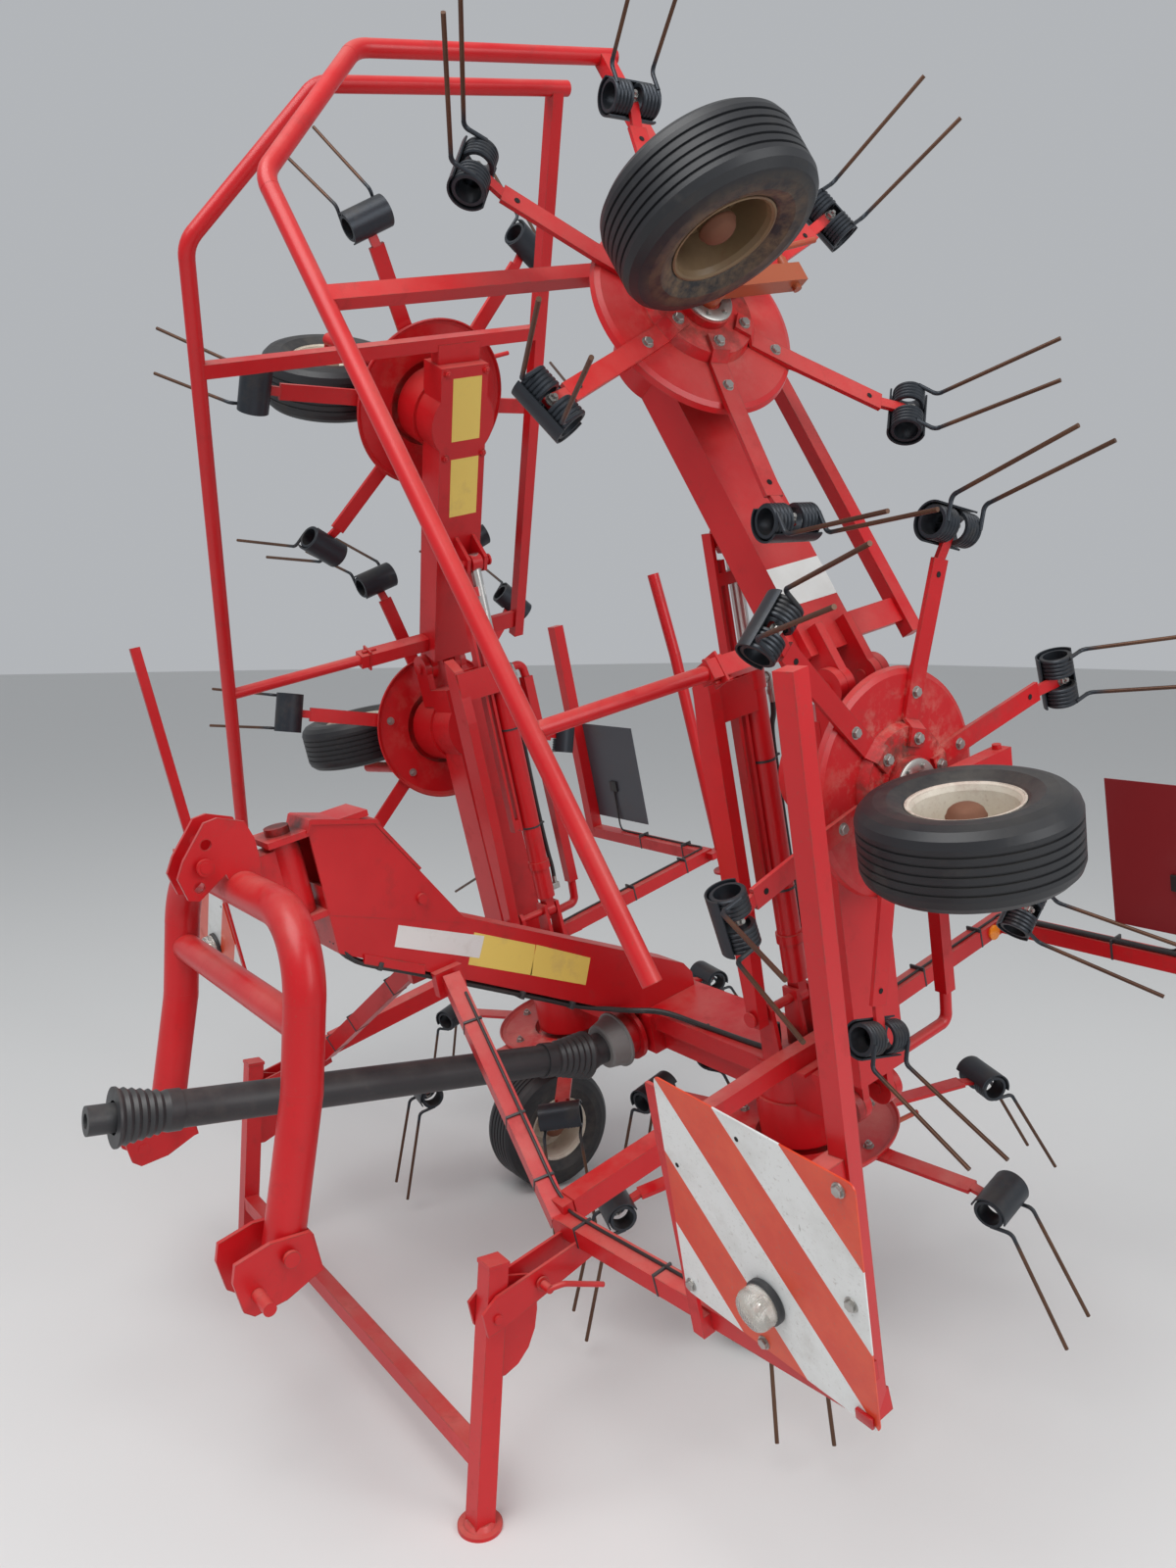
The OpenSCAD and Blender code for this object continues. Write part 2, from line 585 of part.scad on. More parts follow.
// Fold cylinder, between the pin on the centre beam and the lug on the outer beam
cyl_base = [588, 20, 210];
function fold_pt(x, z) =
  let (a = outer_raise, b = inner_raise,
    x1 = (x - hinge2_x) * cos(a) - (z + hinge2_drop) * sin(a) + hinge2_x - hinge1_x,
    z1 = (x - hinge2_x) * sin(a) + (z + hinge2_drop) * cos(a) - hinge2_drop)
  [x1 * cos(b) - z1 * sin(b) + hinge1_x, cyl_base.y, x1 * sin(b) + z1 * cos(b)];
cyl_top = fold_pt(hinge2_x + lug_x, lug_z);
cyl_len = norm(cyl_top - cyl_base);
barrel_len = 870;
post_front = -146;
post_back = -112;

module on_cylinder(side) {
  d = cyl_top - cyl_base;
  stance() on_side(side) translate(cyl_base) rotate([0, atan2(d.x, d.z), 0]) children();
}

module barrel(side) {
  color(paint) on_cylinder(side) difference() {
    union() {
      translate([0, 0, 46]) cylinder(h = barrel_len - 46, r = barrel_r, $fn = 48);
      translate([0, 15, 0]) rotate([90, 0, 0]) cylinder(h = 30, r = 24, $fn = 48);
      block([-20, -15, 0], [20, 15, 52]);
      translate([0, 0, 150]) cylinder(h = 26, r = barrel_r + 5, $fn = 48);
      translate([0, 0, barrel_len - 50]) cylinder(h = 50, r = barrel_r + 4, $fn = 48);
      translate([0, post_back - cyl_base.y, 0]) post();
      for (s = [-1, 1]) block([s * 24.5 - 3.5, post_front + 3 - cyl_base.y, 770],
        [s * 24.5 + 3.5, -15, 862]);
    }
    translate([0, 60, 0]) rotate([90, 0, 0]) cylinder(h = 260, r = cyl_pin_r + run_gap, $fn = 48);
    translate([0, 0, 90]) cylinder(h = barrel_len, r = rod_r + run_gap, $fn = 48);
  }
}

// Stay post beside a cylinder: pressed channel with its web in front and a slanted top
module post() {
  depth = post_back - post_front;
  wall = 6;
  outline = [[-20, -26], [20, -26], [24, 60], [34, 300], [36, 850], [30, 905], [-22, 868], [-34, 700],
    [-33, 300],
    [-23, 60]];
  inside = [for (p = outline) [p.x - sign(p.x) * wall,
    p.y < 0 ? p.y + wall : p.y > 840 ? p.y - wall * 1.3 : p.y]];
  difference() {
    rotate([90, 0, 0]) linear_extrude(depth) polygon(outline);
    translate([0, 1, 0]) rotate([90, 0, 0]) linear_extrude(depth - wall + 1) polygon(inside);
  }
  translate([0, -0.5, 0]) rotate([90, 0, 0]) cylinder(h = depth - 3, r = 22, $fn = 48);
}

module rod(side) {
  color("silver") on_cylinder(side) difference() {
    union() {
      translate([0, 0, 110]) cylinder(h = cyl_len - 122, r = rod_r, $fn = 48);
      translate([0, 18, cyl_len]) rotate([90, 0, 0]) cylinder(h = 36, r = 28, $fn = 48);
      block([-15, -50, 300], [15, -40, cyl_len - 45]);
      block([-15, -72, 300], [15, -62, cyl_len + 20]);
      block([-15, -71, cyl_len - 105], [15, 10, cyl_len - 75]);
      block([-14, -65, 306], [14, -47, 340]);
    }
    translate([0, 60, cyl_len]) rotate([90, 0, 0]) cylinder(h = 120, r = cyl_pin_r + run_gap, $fn = 48);
  }
}

// Front frame: braces, side bars, cross bars, uprights and the stand's brackets
joint_z = 41;
bar_rise = 72;
brace_y = -700;
panel_x = upright_x + 72 - panel_w / 2;
panel_z = 142;
panel_lean = 3;
strap_x = panel_x - panel_w / 2;
latch = [-956, 2];

module front_frame() {
  color(paint) stance() for (s = [-1, 1]) {
    box_bar([s * 92, brace_y, 430], [s * side_bar_x, -front_y, joint_z], tube_w, tube_w);
    block([s * 75 - 13 + (s > 0 ? seat_gap : -seat_gap), brace_y - 40, 390],
      [s * 75 + 13 + (s > 0 ? seat_gap : -seat_gap), brace_y + 40, 455]);
    box_bar([s * side_bar_x, -front_y, joint_z],
      [s * (upright_x + 17), -front_y + 15, joint_z + bar_rise], tube_w, tube_w - 4);
    front_end = [s * side_bar_x, -front_y, joint_z + 20];
    back_end = [s * side_bar_x, -half_w - 30, half_t + 8 + tube_w / 2 + 1];
    box_bar(front_end, back_end, tube_w - 1, tube_w);
    box_bar(front_end + (back_end - front_end) * 0.04, front_end + (back_end - front_end) * 0.6, tube_w + 8,
      tube_w + 8);
    box_bar([s * side_bar_x, -half_w - 42, half_t + 8 + tube_w / 2 + seat_gap],
      [s * side_bar_x, half_w + 20, half_t + 8 + tube_w / 2 + seat_gap], tube_w, tube_w);
    box_bar([s * upright_x, -front_y + 13, joint_z + bar_rise - 4],
      [s * (upright_x + upright_lean), -front_y + 20, 1312], 34, 34);
    for (z = [40, 400]) block([s * (upright_x + 14) - 18, -front_y - 38, panel_z + z],
      [s * (upright_x + 14) + 18, -front_y + 6, panel_z + z + 34]);
    block([s * strap_x - 15, -front_y - 38, 54], [s * strap_x + 15, -front_y - 30, panel_z + panel_w - 15]);
    block([s * strap_x - 15, -front_y - 33, 54], [s * strap_x + 15, -front_y - 10, 96]);
    for (e = [-1, 1]) side_plate(s * stand_x + e * (tube_w / 2 + 6) - 4, 8,
      [[-1100, -45], [-1100, 10], [-1060, 30],
      [-front_y + 20, 40], [-front_y + 20, -10], [-1060, -45]]);
    bar([s * (stand_x - tube_w / 2 - 16), stand_pin[0], stand_pin[1]],
      [s * (stand_x + tube_w / 2 + 16), stand_pin[0], stand_pin[1]], stand_pin_r);
    latch_x = s * (stand_x + tube_w / 2 + 9);
    bar([latch_x, latch.x, latch.y], [latch_x + s * 36, latch.x, latch.y], 9);
    bar([latch_x + s * 4, latch.x, latch.y], [latch_x + s * 9, latch.x, latch.y], 15);
    bent_tube([[latch_x + s * 30, latch.x - 6, latch.y], [latch_x + s * 42, latch.x + 30, latch.y],
      [latch_x + s * 42, latch.x + 121, latch.y - 58]], 6, 16);
  }
}

// Striped panels at the front, blank and flat
module marker_panels() {
  y = -front_y - 38 - seat_gap;
  color("white") stance() for (s = [-1, 1])
    translate([s * (panel_x + 6), y, panel_z + panel_w / 2]) rotate([0, s * panel_lean, 0])
      block([-panel_w / 2, -panel_t, -panel_w / 2], [panel_w / 2, 0, panel_w / 2]);
}

module marker_lamps() {
  y = -front_y - 38 - panel_t - 2 * seat_gap;
  color("orange") stance() for (s = [-1, 1])
    translate([s * (panel_x + 2), y, panel_z + 116]) rotate([90, 0, 0]) rotate_extrude($fn = 48)
      polygon([[0, 0], [40, 0], [40, 12], [37, 14], [37, 36], [33, 43], [24, 46], [0, 46]]);
}

// Parking stand: two legs with foot discs and a cross tube, drawn upright on the ground
stand_pin = [-1070, -18];
pivot_y = stand_pin[0] * cos(pitch_deg) - stand_pin[1] * sin(pitch_deg);
pivot_z = beam_h + stand_pin[0] * sin(pitch_deg) + stand_pin[1] * cos(pitch_deg);

module stand() {
  color(paint) translate([0, beam_line_y, 0]) difference() {
    for (s = [-1, 1]) {
      translate([s * stand_x, pivot_y - 30, 0]) cylinder(h = foot_t, r = foot_r, $fn = 48);
      leg_foot = [s * stand_x, pivot_y - 30, foot_t - 1];
      leg_top = [s * stand_x, pivot_y + 10, pivot_z + 110];
      box_bar(leg_foot, leg_top, tube_w, tube_w);
      box_bar(leg_foot + (leg_top - leg_foot) * 0.99, leg_top + [0, 0, 3], tube_w + 4, tube_w + 4);
      translate([s * stand_x, pivot_y - 30, foot_t - 1])
        cylinder(h = 10, r1 = tube_w / 2 + 12, r2 = tube_w / 2 + 4, $fn = 48);
      side_plate(s * stand_x - 4, 8, [[pivot_y, pivot_z - 150], [pivot_y + 34, pivot_z - 152],
        [pivot_y + 66, pivot_z - 138],
        [pivot_y + 92, pivot_z - 110], [pivot_y + 108, pivot_z - 72], [pivot_y + 114, pivot_z - 30],
        [pivot_y + 112, pivot_z + 34], [pivot_y + 96, pivot_z + 54], [pivot_y + 20, pivot_z + 74]]);
      block([min(0, s * stand_x), pivot_y - 42, 132], [max(0, s * stand_x), pivot_y - 2, 170]);
    }
    for (s = [-1, 1]) translate([s * stand_x - 60, pivot_y, pivot_z]) rotate([0, 90, 0])
      cylinder(h = 120, r = stand_pin_r + run_gap, $fn = 48);
  }
}

// Rear frame: side bars, cross bars, uprights and the raised rear stand
module rear_frame() {
  z0 = half_t + 8 + tube_w / 2 + seat_gap;
  stand_y = rear_y + 48;
  color(paint) stance() {
    for (s = [-1, 1]) {
      block([s * side_bar_x - tube_w / 2, half_w + 20 + seat_gap, z0 - tube_w / 2],
        [s * side_bar_x + tube_w / 2, half_w + 80, z0 + tube_w / 2]);
      box_bar([s * side_bar_x, half_w + 50, z0], [s * side_bar_x, rear_y + tube_w / 2, 130], tube_w - 1,
        tube_w - 1);
      box_bar([s * side_bar_x, rear_y, 130], [s * (rear_upright_x + tube_w / 2 - 1), rear_y, 130],
        tube_w - 2, tube_w - 2);
      box_bar([s * rear_upright_x, rear_y, 130], [s * rear_upright_x, rear_y, 1020], tube_w, tube_w);
    }
    bent_tube([[-600, stand_y, 60], [-680, stand_y, 900], [-727, stand_y, 1199]], 21, 90);
    translate([-599, stand_y, 56]) cylinder(h = 8, r = 45, $fn = 48);
    block([-640, rear_y - 10, 120], [-592, stand_y, 145]);
  }
}

module rear_panels() {
  y = rear_y + tube_w / 2 + seat_gap;
  color("gray") stance() for (s = [-1, 1])
    block([s * (rear_upright_x - 170) - 185, y, 195], [s * (rear_upright_x - 170) + 185, y + panel_t, 600]);
}

// Drive shaft with its guard tube and joint boots, and the bell at the gearbox
bell_y = -half_w - 105 - seat_gap;
bell_len = 60;
boot_ribs = 6;
shaft_near = [0, bell_y - bell_len - 52, -10];
shaft_far = [0, -1516, 409];

module drive_shaft() {
  d = shaft_far - shaft_near;
  l = norm(d);
  color("dimgray") stance() {
    translate([0, bell_y - bell_len - seat_gap, shaft_near.z]) rotate([90, 0, 0])
      cylinder(h = 40, r = 46, $fn = 48);
    translate(shaft_near) sphere(r = 50, $fn = 48);
    translate(shaft_near) rotate([90 - asin(d.z / l), 0, 0]) difference() {
      union() {
        cylinder(h = l, r = shaft_guard_r, $fn = 48);
        for (e = [0, 1]) translate([0, 0, e * (l + 40)]) mirror([0, 0, e]) boot();
        translate([0, 0, l - 1]) cylinder(h = 90, r = 34, $fn = 48);
      }
      translate([0, 0, l + 9]) cylinder(h = 100, r = stub_bore_r, $fn = 48);
    }
  }
}

// Ribbed joint boot around the guard tube, wide end at the joint
module boot() {
  r = shaft_guard_r + 3;
  rotate_extrude($fn = 48) polygon(concat([[r - 8, 10], [r + 22, 10]],
    [for (i = [0:boot_ribs - 1]) each [[r + 22 - i * 3.4, 16 + i * 18], [r + 15 - i * 3.4, 25 + i * 18]]],
    [[r + 2, 20 + boot_ribs * 18], [r + 2, 50 + boot_ribs * 18], [r - 8, 50 + boot_ribs * 18]]));
}

module shaft_bell() {
  color("gray") stance() translate([0, bell_y, shaft_near.z]) rotate([90, 0, 0]) rotate_extrude($fn = 64)
    polygon([[0, 0], [84, 0], [84, 6], [78, 8], [72, 30], [66, bell_len - 4], [60, bell_len],
      [0, bell_len]]);
}

headstock();
main_beam();
centre_beam();
front_frame();
marker_panels();
marker_lamps();
stand();
rear_frame();
rear_panels();
drive_shaft();
shaft_bell();
for (side = ["L", "R"]) {
  inner_beam(side);
  outer_beam(side);
  guard(side);
  barrel(side);
  rod(side);
  for (n = [1, 2, 3]) {
    rotor(n, side);
    tines(n, side);
    leg(n, side);
    tyre(n, side);
    rim(n, side);
  }
}
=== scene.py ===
# %% [markdown]
# Folded hay tedder
# This machine carries six tined rotors on a hinged beam. For the road its wings fold up,
# and here it stands parked on its two middle wheels and a stand, seen from its left front.
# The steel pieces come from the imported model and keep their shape. What follows gives each
# surface its finish and adds what is too fine for the model: bolts, plates, cables and dirt.

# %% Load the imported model
import json
import math

import bmesh
import bpy
from mathutils import Matrix, Vector


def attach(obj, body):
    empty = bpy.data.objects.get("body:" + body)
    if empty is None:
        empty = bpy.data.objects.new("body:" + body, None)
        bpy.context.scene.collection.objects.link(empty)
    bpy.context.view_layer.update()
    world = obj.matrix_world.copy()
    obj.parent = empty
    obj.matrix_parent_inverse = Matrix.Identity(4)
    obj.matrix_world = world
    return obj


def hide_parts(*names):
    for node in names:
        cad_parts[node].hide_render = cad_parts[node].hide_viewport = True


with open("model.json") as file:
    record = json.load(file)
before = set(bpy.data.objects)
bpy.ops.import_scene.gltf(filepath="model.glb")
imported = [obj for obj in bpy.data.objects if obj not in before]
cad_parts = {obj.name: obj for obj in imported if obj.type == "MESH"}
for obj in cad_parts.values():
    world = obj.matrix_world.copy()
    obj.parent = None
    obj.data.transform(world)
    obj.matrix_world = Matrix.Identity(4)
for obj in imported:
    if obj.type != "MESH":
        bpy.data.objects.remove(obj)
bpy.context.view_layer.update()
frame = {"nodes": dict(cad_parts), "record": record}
nodes = frame["nodes"]

# %% [markdown]
# The camera
# The photograph was taken at eye height, 3.2 m from the middle of the machine, which is close
# enough to make the near side look large. The camera stands at that place in the machine's own
# frame, so every piece lines up with the photograph and nothing has to be fitted by eye.

# %% Camera at the photograph's place
eye = Vector((2.6963, -1.7932, 1.8691))
heading = math.radians(54.54)
dip = math.radians(7.18)
focal_px = 1203.1
frame_h_px = 1600
sensor_h = 36.0
gaze = Vector((-math.sin(heading) * math.cos(dip), math.cos(heading) * math.cos(dip),
               -math.sin(dip)))

camera_data = bpy.data.cameras.new("photograph view")
camera_data.sensor_fit = "VERTICAL"
camera_data.sensor_height = sensor_h
camera_data.lens = sensor_h * focal_px / frame_h_px
camera_data.clip_end = 200.0
camera = bpy.data.objects.new("photograph view", camera_data)
camera.matrix_world = Matrix.Translation(eye) @ gaze.to_track_quat("-Z", "Y").to_matrix().to_4x4()
bpy.context.scene.collection.objects.link(camera)
bpy.context.scene.camera = camera
print("lens", round(camera_data.lens, 2), "mm")

# %% [markdown]
# Light and floor
# A pale floor and a pale world make a plain studio. Two large soft lamps give the paint long,
# quiet reflections, and neither is strong enough to wash its red out.

# %% Floor, world and lamps
scene = bpy.context.scene
scene.view_settings.view_transform = "Standard"


def add_object(name, mesh):
    piece = bpy.data.objects.new(name, mesh)
    scene.collection.objects.link(piece)
    return piece


def new_material(name):
    material = bpy.data.materials.new(name)
    material.use_nodes = True
    return material, material.node_tree, material.node_tree.nodes["Principled BSDF"]


floor_size = 60.0
floor_material, _, floor_shader = new_material("pale floor")
floor_shader.inputs["Base Color"].default_value = (0.70, 0.70, 0.69, 1)
floor_shader.inputs["Roughness"].default_value = 0.9
floor_mesh = bpy.data.meshes.new("floor")
corners = [(-1, -1), (1, -1), (1, 1), (-1, 1)]
floor_mesh.from_pydata([(x * floor_size, y * floor_size, 0) for x, y in corners], [],
                       [(0, 1, 2, 3)])
floor = add_object("floor", floor_mesh)
floor.data.materials.append(floor_material)

world = bpy.data.worlds.new("studio")
scene.world = world
world.use_nodes = True
sky = world.node_tree.nodes["Background"]
sky.inputs["Color"].default_value = (0.86, 0.89, 0.93, 1)
sky.inputs["Strength"].default_value = 0.52


def add_lamp(name, place, aim, size, power):
    data = bpy.data.lights.new(name, "AREA")
    data.size = size
    data.energy = power
    lamp = bpy.data.objects.new(name, data)
    lamp.location = place
    lamp.rotation_euler = (Vector(aim) - Vector(place)).to_track_quat("-Z", "Y").to_euler()
    scene.collection.objects.link(lamp)


add_lamp("sky lamp", (1.5, -3.5, 7.0), (0, 0, 1.2), 5.0, 360)
add_lamp("side lamp", (6.5, 1.5, 4.0), (0.3, 0, 1.3), 4.0, 190)

# %% [markdown]
# Small helpers for shader nodes
# Every finish below is a tree of nodes. A short helper that makes a node, sets its values and
# plugs its inputs keeps each material readable as one list of steps.


# %% Node helpers
def plug(tree, kind, inputs=None, **settings):
    made = tree.nodes.new(kind)
    for key, value in settings.items():
        setattr(made, key, value)
    for key, value in (inputs or {}).items():
        socket = made.inputs[key]
        if hasattr(value, "is_output"):
            tree.links.new(value, socket)
        else:
            socket.default_value = value
    return made


def object_place(tree):
    return plug(tree, "ShaderNodeTexCoord").outputs["Object"]


def noise(tree, where, scale, detail, roughness):
    made = plug(tree, "ShaderNodeTexNoise",
                {"Vector": where, "Scale": scale, "Detail": detail, "Roughness": roughness})
    return made.outputs["Fac"]


def ramp(tree, value, low, high):
    made = plug(tree, "ShaderNodeMapRange", {"Value": value, "From Min": low, "From Max": high})
    return made.outputs["Result"]


def maths(tree, operation, *values):
    made = plug(tree, "ShaderNodeMath", operation=operation)
    for socket, value in zip(made.inputs, values):
        if hasattr(value, "is_output"):
            tree.links.new(value, socket)
        else:
            socket.default_value = value
    return made.outputs[0]


def times(tree, first, second):
    return maths(tree, "MULTIPLY", first, second)


def plus(tree, first, second):
    return maths(tree, "ADD", first, second)


def mix_colour(tree, amount, first, second):
    made = plug(tree, "ShaderNodeMix", data_type="RGBA")
    for key, value in ((0, amount), (6, first), (7, second)):
        if hasattr(value, "is_output"):
            tree.links.new(value, made.inputs[key])
        else:
            made.inputs[key].default_value = value if isinstance(value, float) else (*value, 1)
    return made.outputs[2]


def stain(tree, mask, strength, tone, colour):
    return mix_colour(tree, times(tree, mask, strength), tone, colour)


def new_group(name, inputs, outputs):
    tree = bpy.data.node_groups.new(name, "ShaderNodeTree")
    for title, kind, value in inputs:
        socket = tree.interface.new_socket(title, in_out="INPUT", socket_type="NodeSocket" + kind)
        socket.default_value = value
    for title, kind in outputs:
        tree.interface.new_socket(title, in_out="OUTPUT", socket_type="NodeSocket" + kind)
    return tree, tree.nodes.new("NodeGroupInput"), tree.nodes.new("NodeGroupOutput")


# %% [markdown]
# The machine's own frames
# The beam was drawn level and then pitched forward onto the stand, and each wing was raised
# round its hinges. The same turns, written once here, put a bolt or a label on a folded wing
# by its place on the level machine, as a drawing would dimension it.

# %% Frames of the parked machine
pitch = math.radians(13.27)
tyre_radius, wheel_lead, wheel_drop = 0.205, 0.179, 0.503
beam_height = tyre_radius + wheel_lead * math.sin(pitch) + wheel_drop * math.cos(pitch)
beam_y = 0.410
parked = Matrix.Translation((0, beam_y, beam_height)) @ Matrix.Rotation(pitch, 4, "X")
mirrored = Matrix.Scale(-1, 4, (1, 0, 0))


def moved(matrix, x, y, z):
    return matrix @ Matrix.Translation((x, y, z))


def spun(matrix, degrees, axis):
    return matrix @ Matrix.Rotation(math.radians(degrees), 4, axis)


def raised(x, z, degrees):
    turn = Matrix.Rotation(-math.radians(degrees), 4, "Y")
    return Matrix.Translation((x, 0, z)) @ turn @ Matrix.Translation((-x, 0, -z))


sides = {"L": parked, "R": parked @ mirrored}
inner_hinge, inner_fold = (0.805, 0), 88
outer_hinge, outer_fold = (1.875, -0.090), 29.2
inner_wing = raised(*inner_hinge, inner_fold)
outer_wing = inner_wing @ raised(*outer_hinge, outer_fold)
# Of each section: how it is raised, its rotor's place, the rotor's turn and the wheel's turn
sections = {"1": (Matrix(), 0.55, 10, -90), "2": (inner_wing, 1.65, 20, 90),
            "3": (outer_wing, 2.75, 10, -90)}
mirrored_phase = 30
stations = {}
for side, base in sides.items():
    for number, (raising, rotor_x, phase, wheel_turn) in sections.items():
        rotor = moved(base @ raising, rotor_x, 0, 0)
        stations[number + side] = {
            "section": base @ raising,
            "rotor": rotor,
            "phase": phase if side == "L" else phase + mirrored_phase,
            "axle": spun(moved(rotor, 0, -wheel_lead, -wheel_drop), wheel_turn, "Y")}
print("stations", sorted(stations))

# %% [markdown]
# Worn edges
# Paint thins first where hands, crop and straw rub: on the outer edges. A Bevel node gives a
# rounded normal near each edge, and where it leaves the true normal an edge is close. Noise
# then breaks that line up, because wear comes in patches.

# %% Group: worn edges
edge_tree, edge_in, edge_out = new_group(
    "worn edges",
    [("Width", "Float", 0.006), ("Amount", "Float", 0.5), ("Patch size", "Float", 18.0)],
    [("Mask", "Float")])
rounded = plug(edge_tree, "ShaderNodeBevel", {"Radius": edge_in.outputs["Width"]}, samples=4)
true_normal = plug(edge_tree, "ShaderNodeNewGeometry").outputs["Normal"]
agreement = plug(edge_tree, "ShaderNodeVectorMath", {0: rounded.outputs["Normal"], 1: true_normal},
                 operation="DOT_PRODUCT").outputs["Value"]
near_edge = ramp(edge_tree, agreement, 0.995, 0.90)
edge_cloud = noise(edge_tree, object_place(edge_tree), edge_in.outputs["Patch size"], 6.0, 0.7)
worn = times(edge_tree, near_edge, ramp(edge_tree, edge_cloud, 0.44, 0.58))
edge_tree.links.new(times(edge_tree, worn, edge_in.outputs["Amount"]), edge_out.inputs["Mask"])
print("group", edge_tree.name)

# %% [markdown]
# Dust and grime
# Dust settles on what looks up, and grime gathers in blotches anywhere. One group gives both
# as masks, so that paint, rubber and plastic can share the same weather.

# %% Group: weather
weather_tree, weather_in, weather_out = new_group(
    "weather",
    [("Dust", "Float", 0.5), ("Blotch size", "Float", 4.0)],
    [("Dust mask", "Float"), ("Grime mask", "Float"), ("Speckle", "Float")])
weather_where = object_place(weather_tree)
weather_normal = plug(weather_tree, "ShaderNodeNewGeometry").outputs["Normal"]
facing = plug(weather_tree, "ShaderNodeSeparateXYZ", {"Vector": weather_normal}).outputs["Z"]
upward = ramp(weather_tree, facing, 0.1, 0.95)
cloud = noise(weather_tree, weather_where, weather_in.outputs["Blotch size"], 6.0, 0.65)
settled = times(weather_tree, upward, ramp(weather_tree, cloud, 0.35, 0.65))
grime = ramp(weather_tree, noise(weather_tree, weather_where, 9.0, 8.0, 0.7), 0.56, 0.72)
speckle = ramp(weather_tree, noise(weather_tree, weather_where, 160.0, 3.0, 0.6), 0.60, 0.72)
weather_tree.links.new(times(weather_tree, settled, weather_in.outputs["Dust"]),
                       weather_out.inputs["Dust mask"])
weather_tree.links.new(grime, weather_out.inputs["Grime mask"])
weather_tree.links.new(speckle, weather_out.inputs["Speckle"])
print("group", weather_tree.name)

# %% [markdown]
# Red paint
# The steel is painted a warm signal red. It has faded in patches, carries a film of dust on
# top and dark rubs, and its edges show brown primer. A thin clear coat keeps the long
# highlights.


# %% Material: red paint
def place_group(tree, group, values):
    made = tree.nodes.new("ShaderNodeGroup")
    made.node_tree = group
    for key, value in values.items():
        made.inputs[key].default_value = value
    return made


red = ((0.50, 0.004, 0.008), (0.60, 0.012, 0.016))
dust_film, dark_rub = (0.52, 0.33, 0.27), (0.17, 0.022, 0.018)
speck_brown, primer = (0.20, 0.07, 0.045), (0.10, 0.045, 0.03)


def painted(name, colour, faded, wear=0.6, dust=0.35, gloss=0.36, layers=()):
    material, tree, shader = new_material(name)
    where = object_place(tree)
    weather = place_group(tree, weather_tree, {"Dust": dust, "Blotch size": 3.5})
    edges = place_group(tree, edge_tree, {"Width": 0.005, "Amount": wear, "Patch size": 14.0})
    fade = ramp(tree, noise(tree, where, 1.7, 5.0, 0.6), 0.40, 0.68)
    tone = mix_colour(tree, fade, colour, faded)
    tone = mix_colour(tree, weather.outputs["Dust mask"], tone, dust_film)
    tone = stain(tree, weather.outputs["Grime mask"], 0.35, tone, dark_rub)
    tone = stain(tree, weather.outputs["Speckle"], 0.25, tone, speck_brown)
    tone = mix_colour(tree, edges.outputs["Mask"], tone, primer)
    for layer in layers:
        tone = layer(tree, where, tone)
    tree.links.new(tone, shader.inputs["Base Color"])
    rough = plus(tree, times(tree, weather.outputs["Grime mask"], 0.22), gloss)
    rough = plus(tree, rough, times(tree, weather.outputs["Dust mask"], 0.35))
    tree.links.new(rough, shader.inputs["Roughness"])
    shader.inputs["Specular IOR Level"].default_value = 0.4
    shader.inputs["Coat Weight"].default_value = 0.10
    shader.inputs["Coat Roughness"].default_value = 0.18
    ripple = noise(tree, where, 55.0, 2.0, 0.5)
    bump = plug(tree, "ShaderNodeBump", {"Height": ripple, "Strength": 0.06, "Distance": 0.002})
    tree.links.new(bump.outputs["Normal"], shader.inputs["Normal"])
    return material


red_paint = painted("red paint", *red)
print("paint", red_paint.name)

# %% [markdown]
# Marks that belong to a place
# Some dirt has a cause: grease creeps out of a swivel, hay rubs the paint off a disc round its
# hub, and a spring wire rusts while its coil stays blue. Two small groups measure how near a
# point is to a place, or how far out and how far along an axis it lies, and the finishes use
# those lengths to put each mark where its cause is.

# %% Group: near a place
near_tree, near_in, near_out = new_group(
    "near a place", [("Place", "Vector", (0, 0, 0)), ("Reach", "Float", 0.1)], [("Mask", "Float")])
near_where = object_place(near_tree)
near_gap = plug(near_tree, "ShaderNodeVectorMath", {0: near_where, 1: near_in.outputs["Place"]},
                operation="DISTANCE").outputs["Value"]
near_share = maths(near_tree, "DIVIDE", near_gap, near_in.outputs["Reach"])
near_rough = plus(near_tree, near_share,
                  times(near_tree, noise(near_tree, near_where, 26.0, 6.0, 0.7), 0.9))
near_tree.links.new(ramp(near_tree, near_rough, 1.35, 0.75), near_out.inputs["Mask"])
print("group", near_tree.name)

# %% Group: round an axis
axis_tree, axis_in, axis_out = new_group(
    "round an axis", [("Origin", "Vector", (0, 0, 0)), ("Axis", "Vector", (0, 0, 1))],
    [("Radius", "Float"), ("Along", "Float")])
axis_arm = plug(axis_tree, "ShaderNodeVectorMath",
                {0: object_place(axis_tree), 1: axis_in.outputs["Origin"]},
                operation="SUBTRACT").outputs["Vector"]
axis_along = plug(axis_tree, "ShaderNodeVectorMath", {0: axis_arm, 1: axis_in.outputs["Axis"]},
                  operation="DOT_PRODUCT").outputs["Value"]
axis_length = plug(axis_tree, "ShaderNodeVectorMath", {0: axis_arm},
                   operation="LENGTH").outputs["Value"]
axis_square = maths(axis_tree, "SUBTRACT", times(axis_tree, axis_length, axis_length),
                    times(axis_tree, axis_along, axis_along))
axis_tree.links.new(maths(axis_tree, "SQRT", maths(axis_tree, "MAXIMUM", axis_square, 0.0)),
                    axis_out.inputs["Radius"])
axis_tree.links.new(axis_along, axis_out.inputs["Along"])
print("group", axis_tree.name)

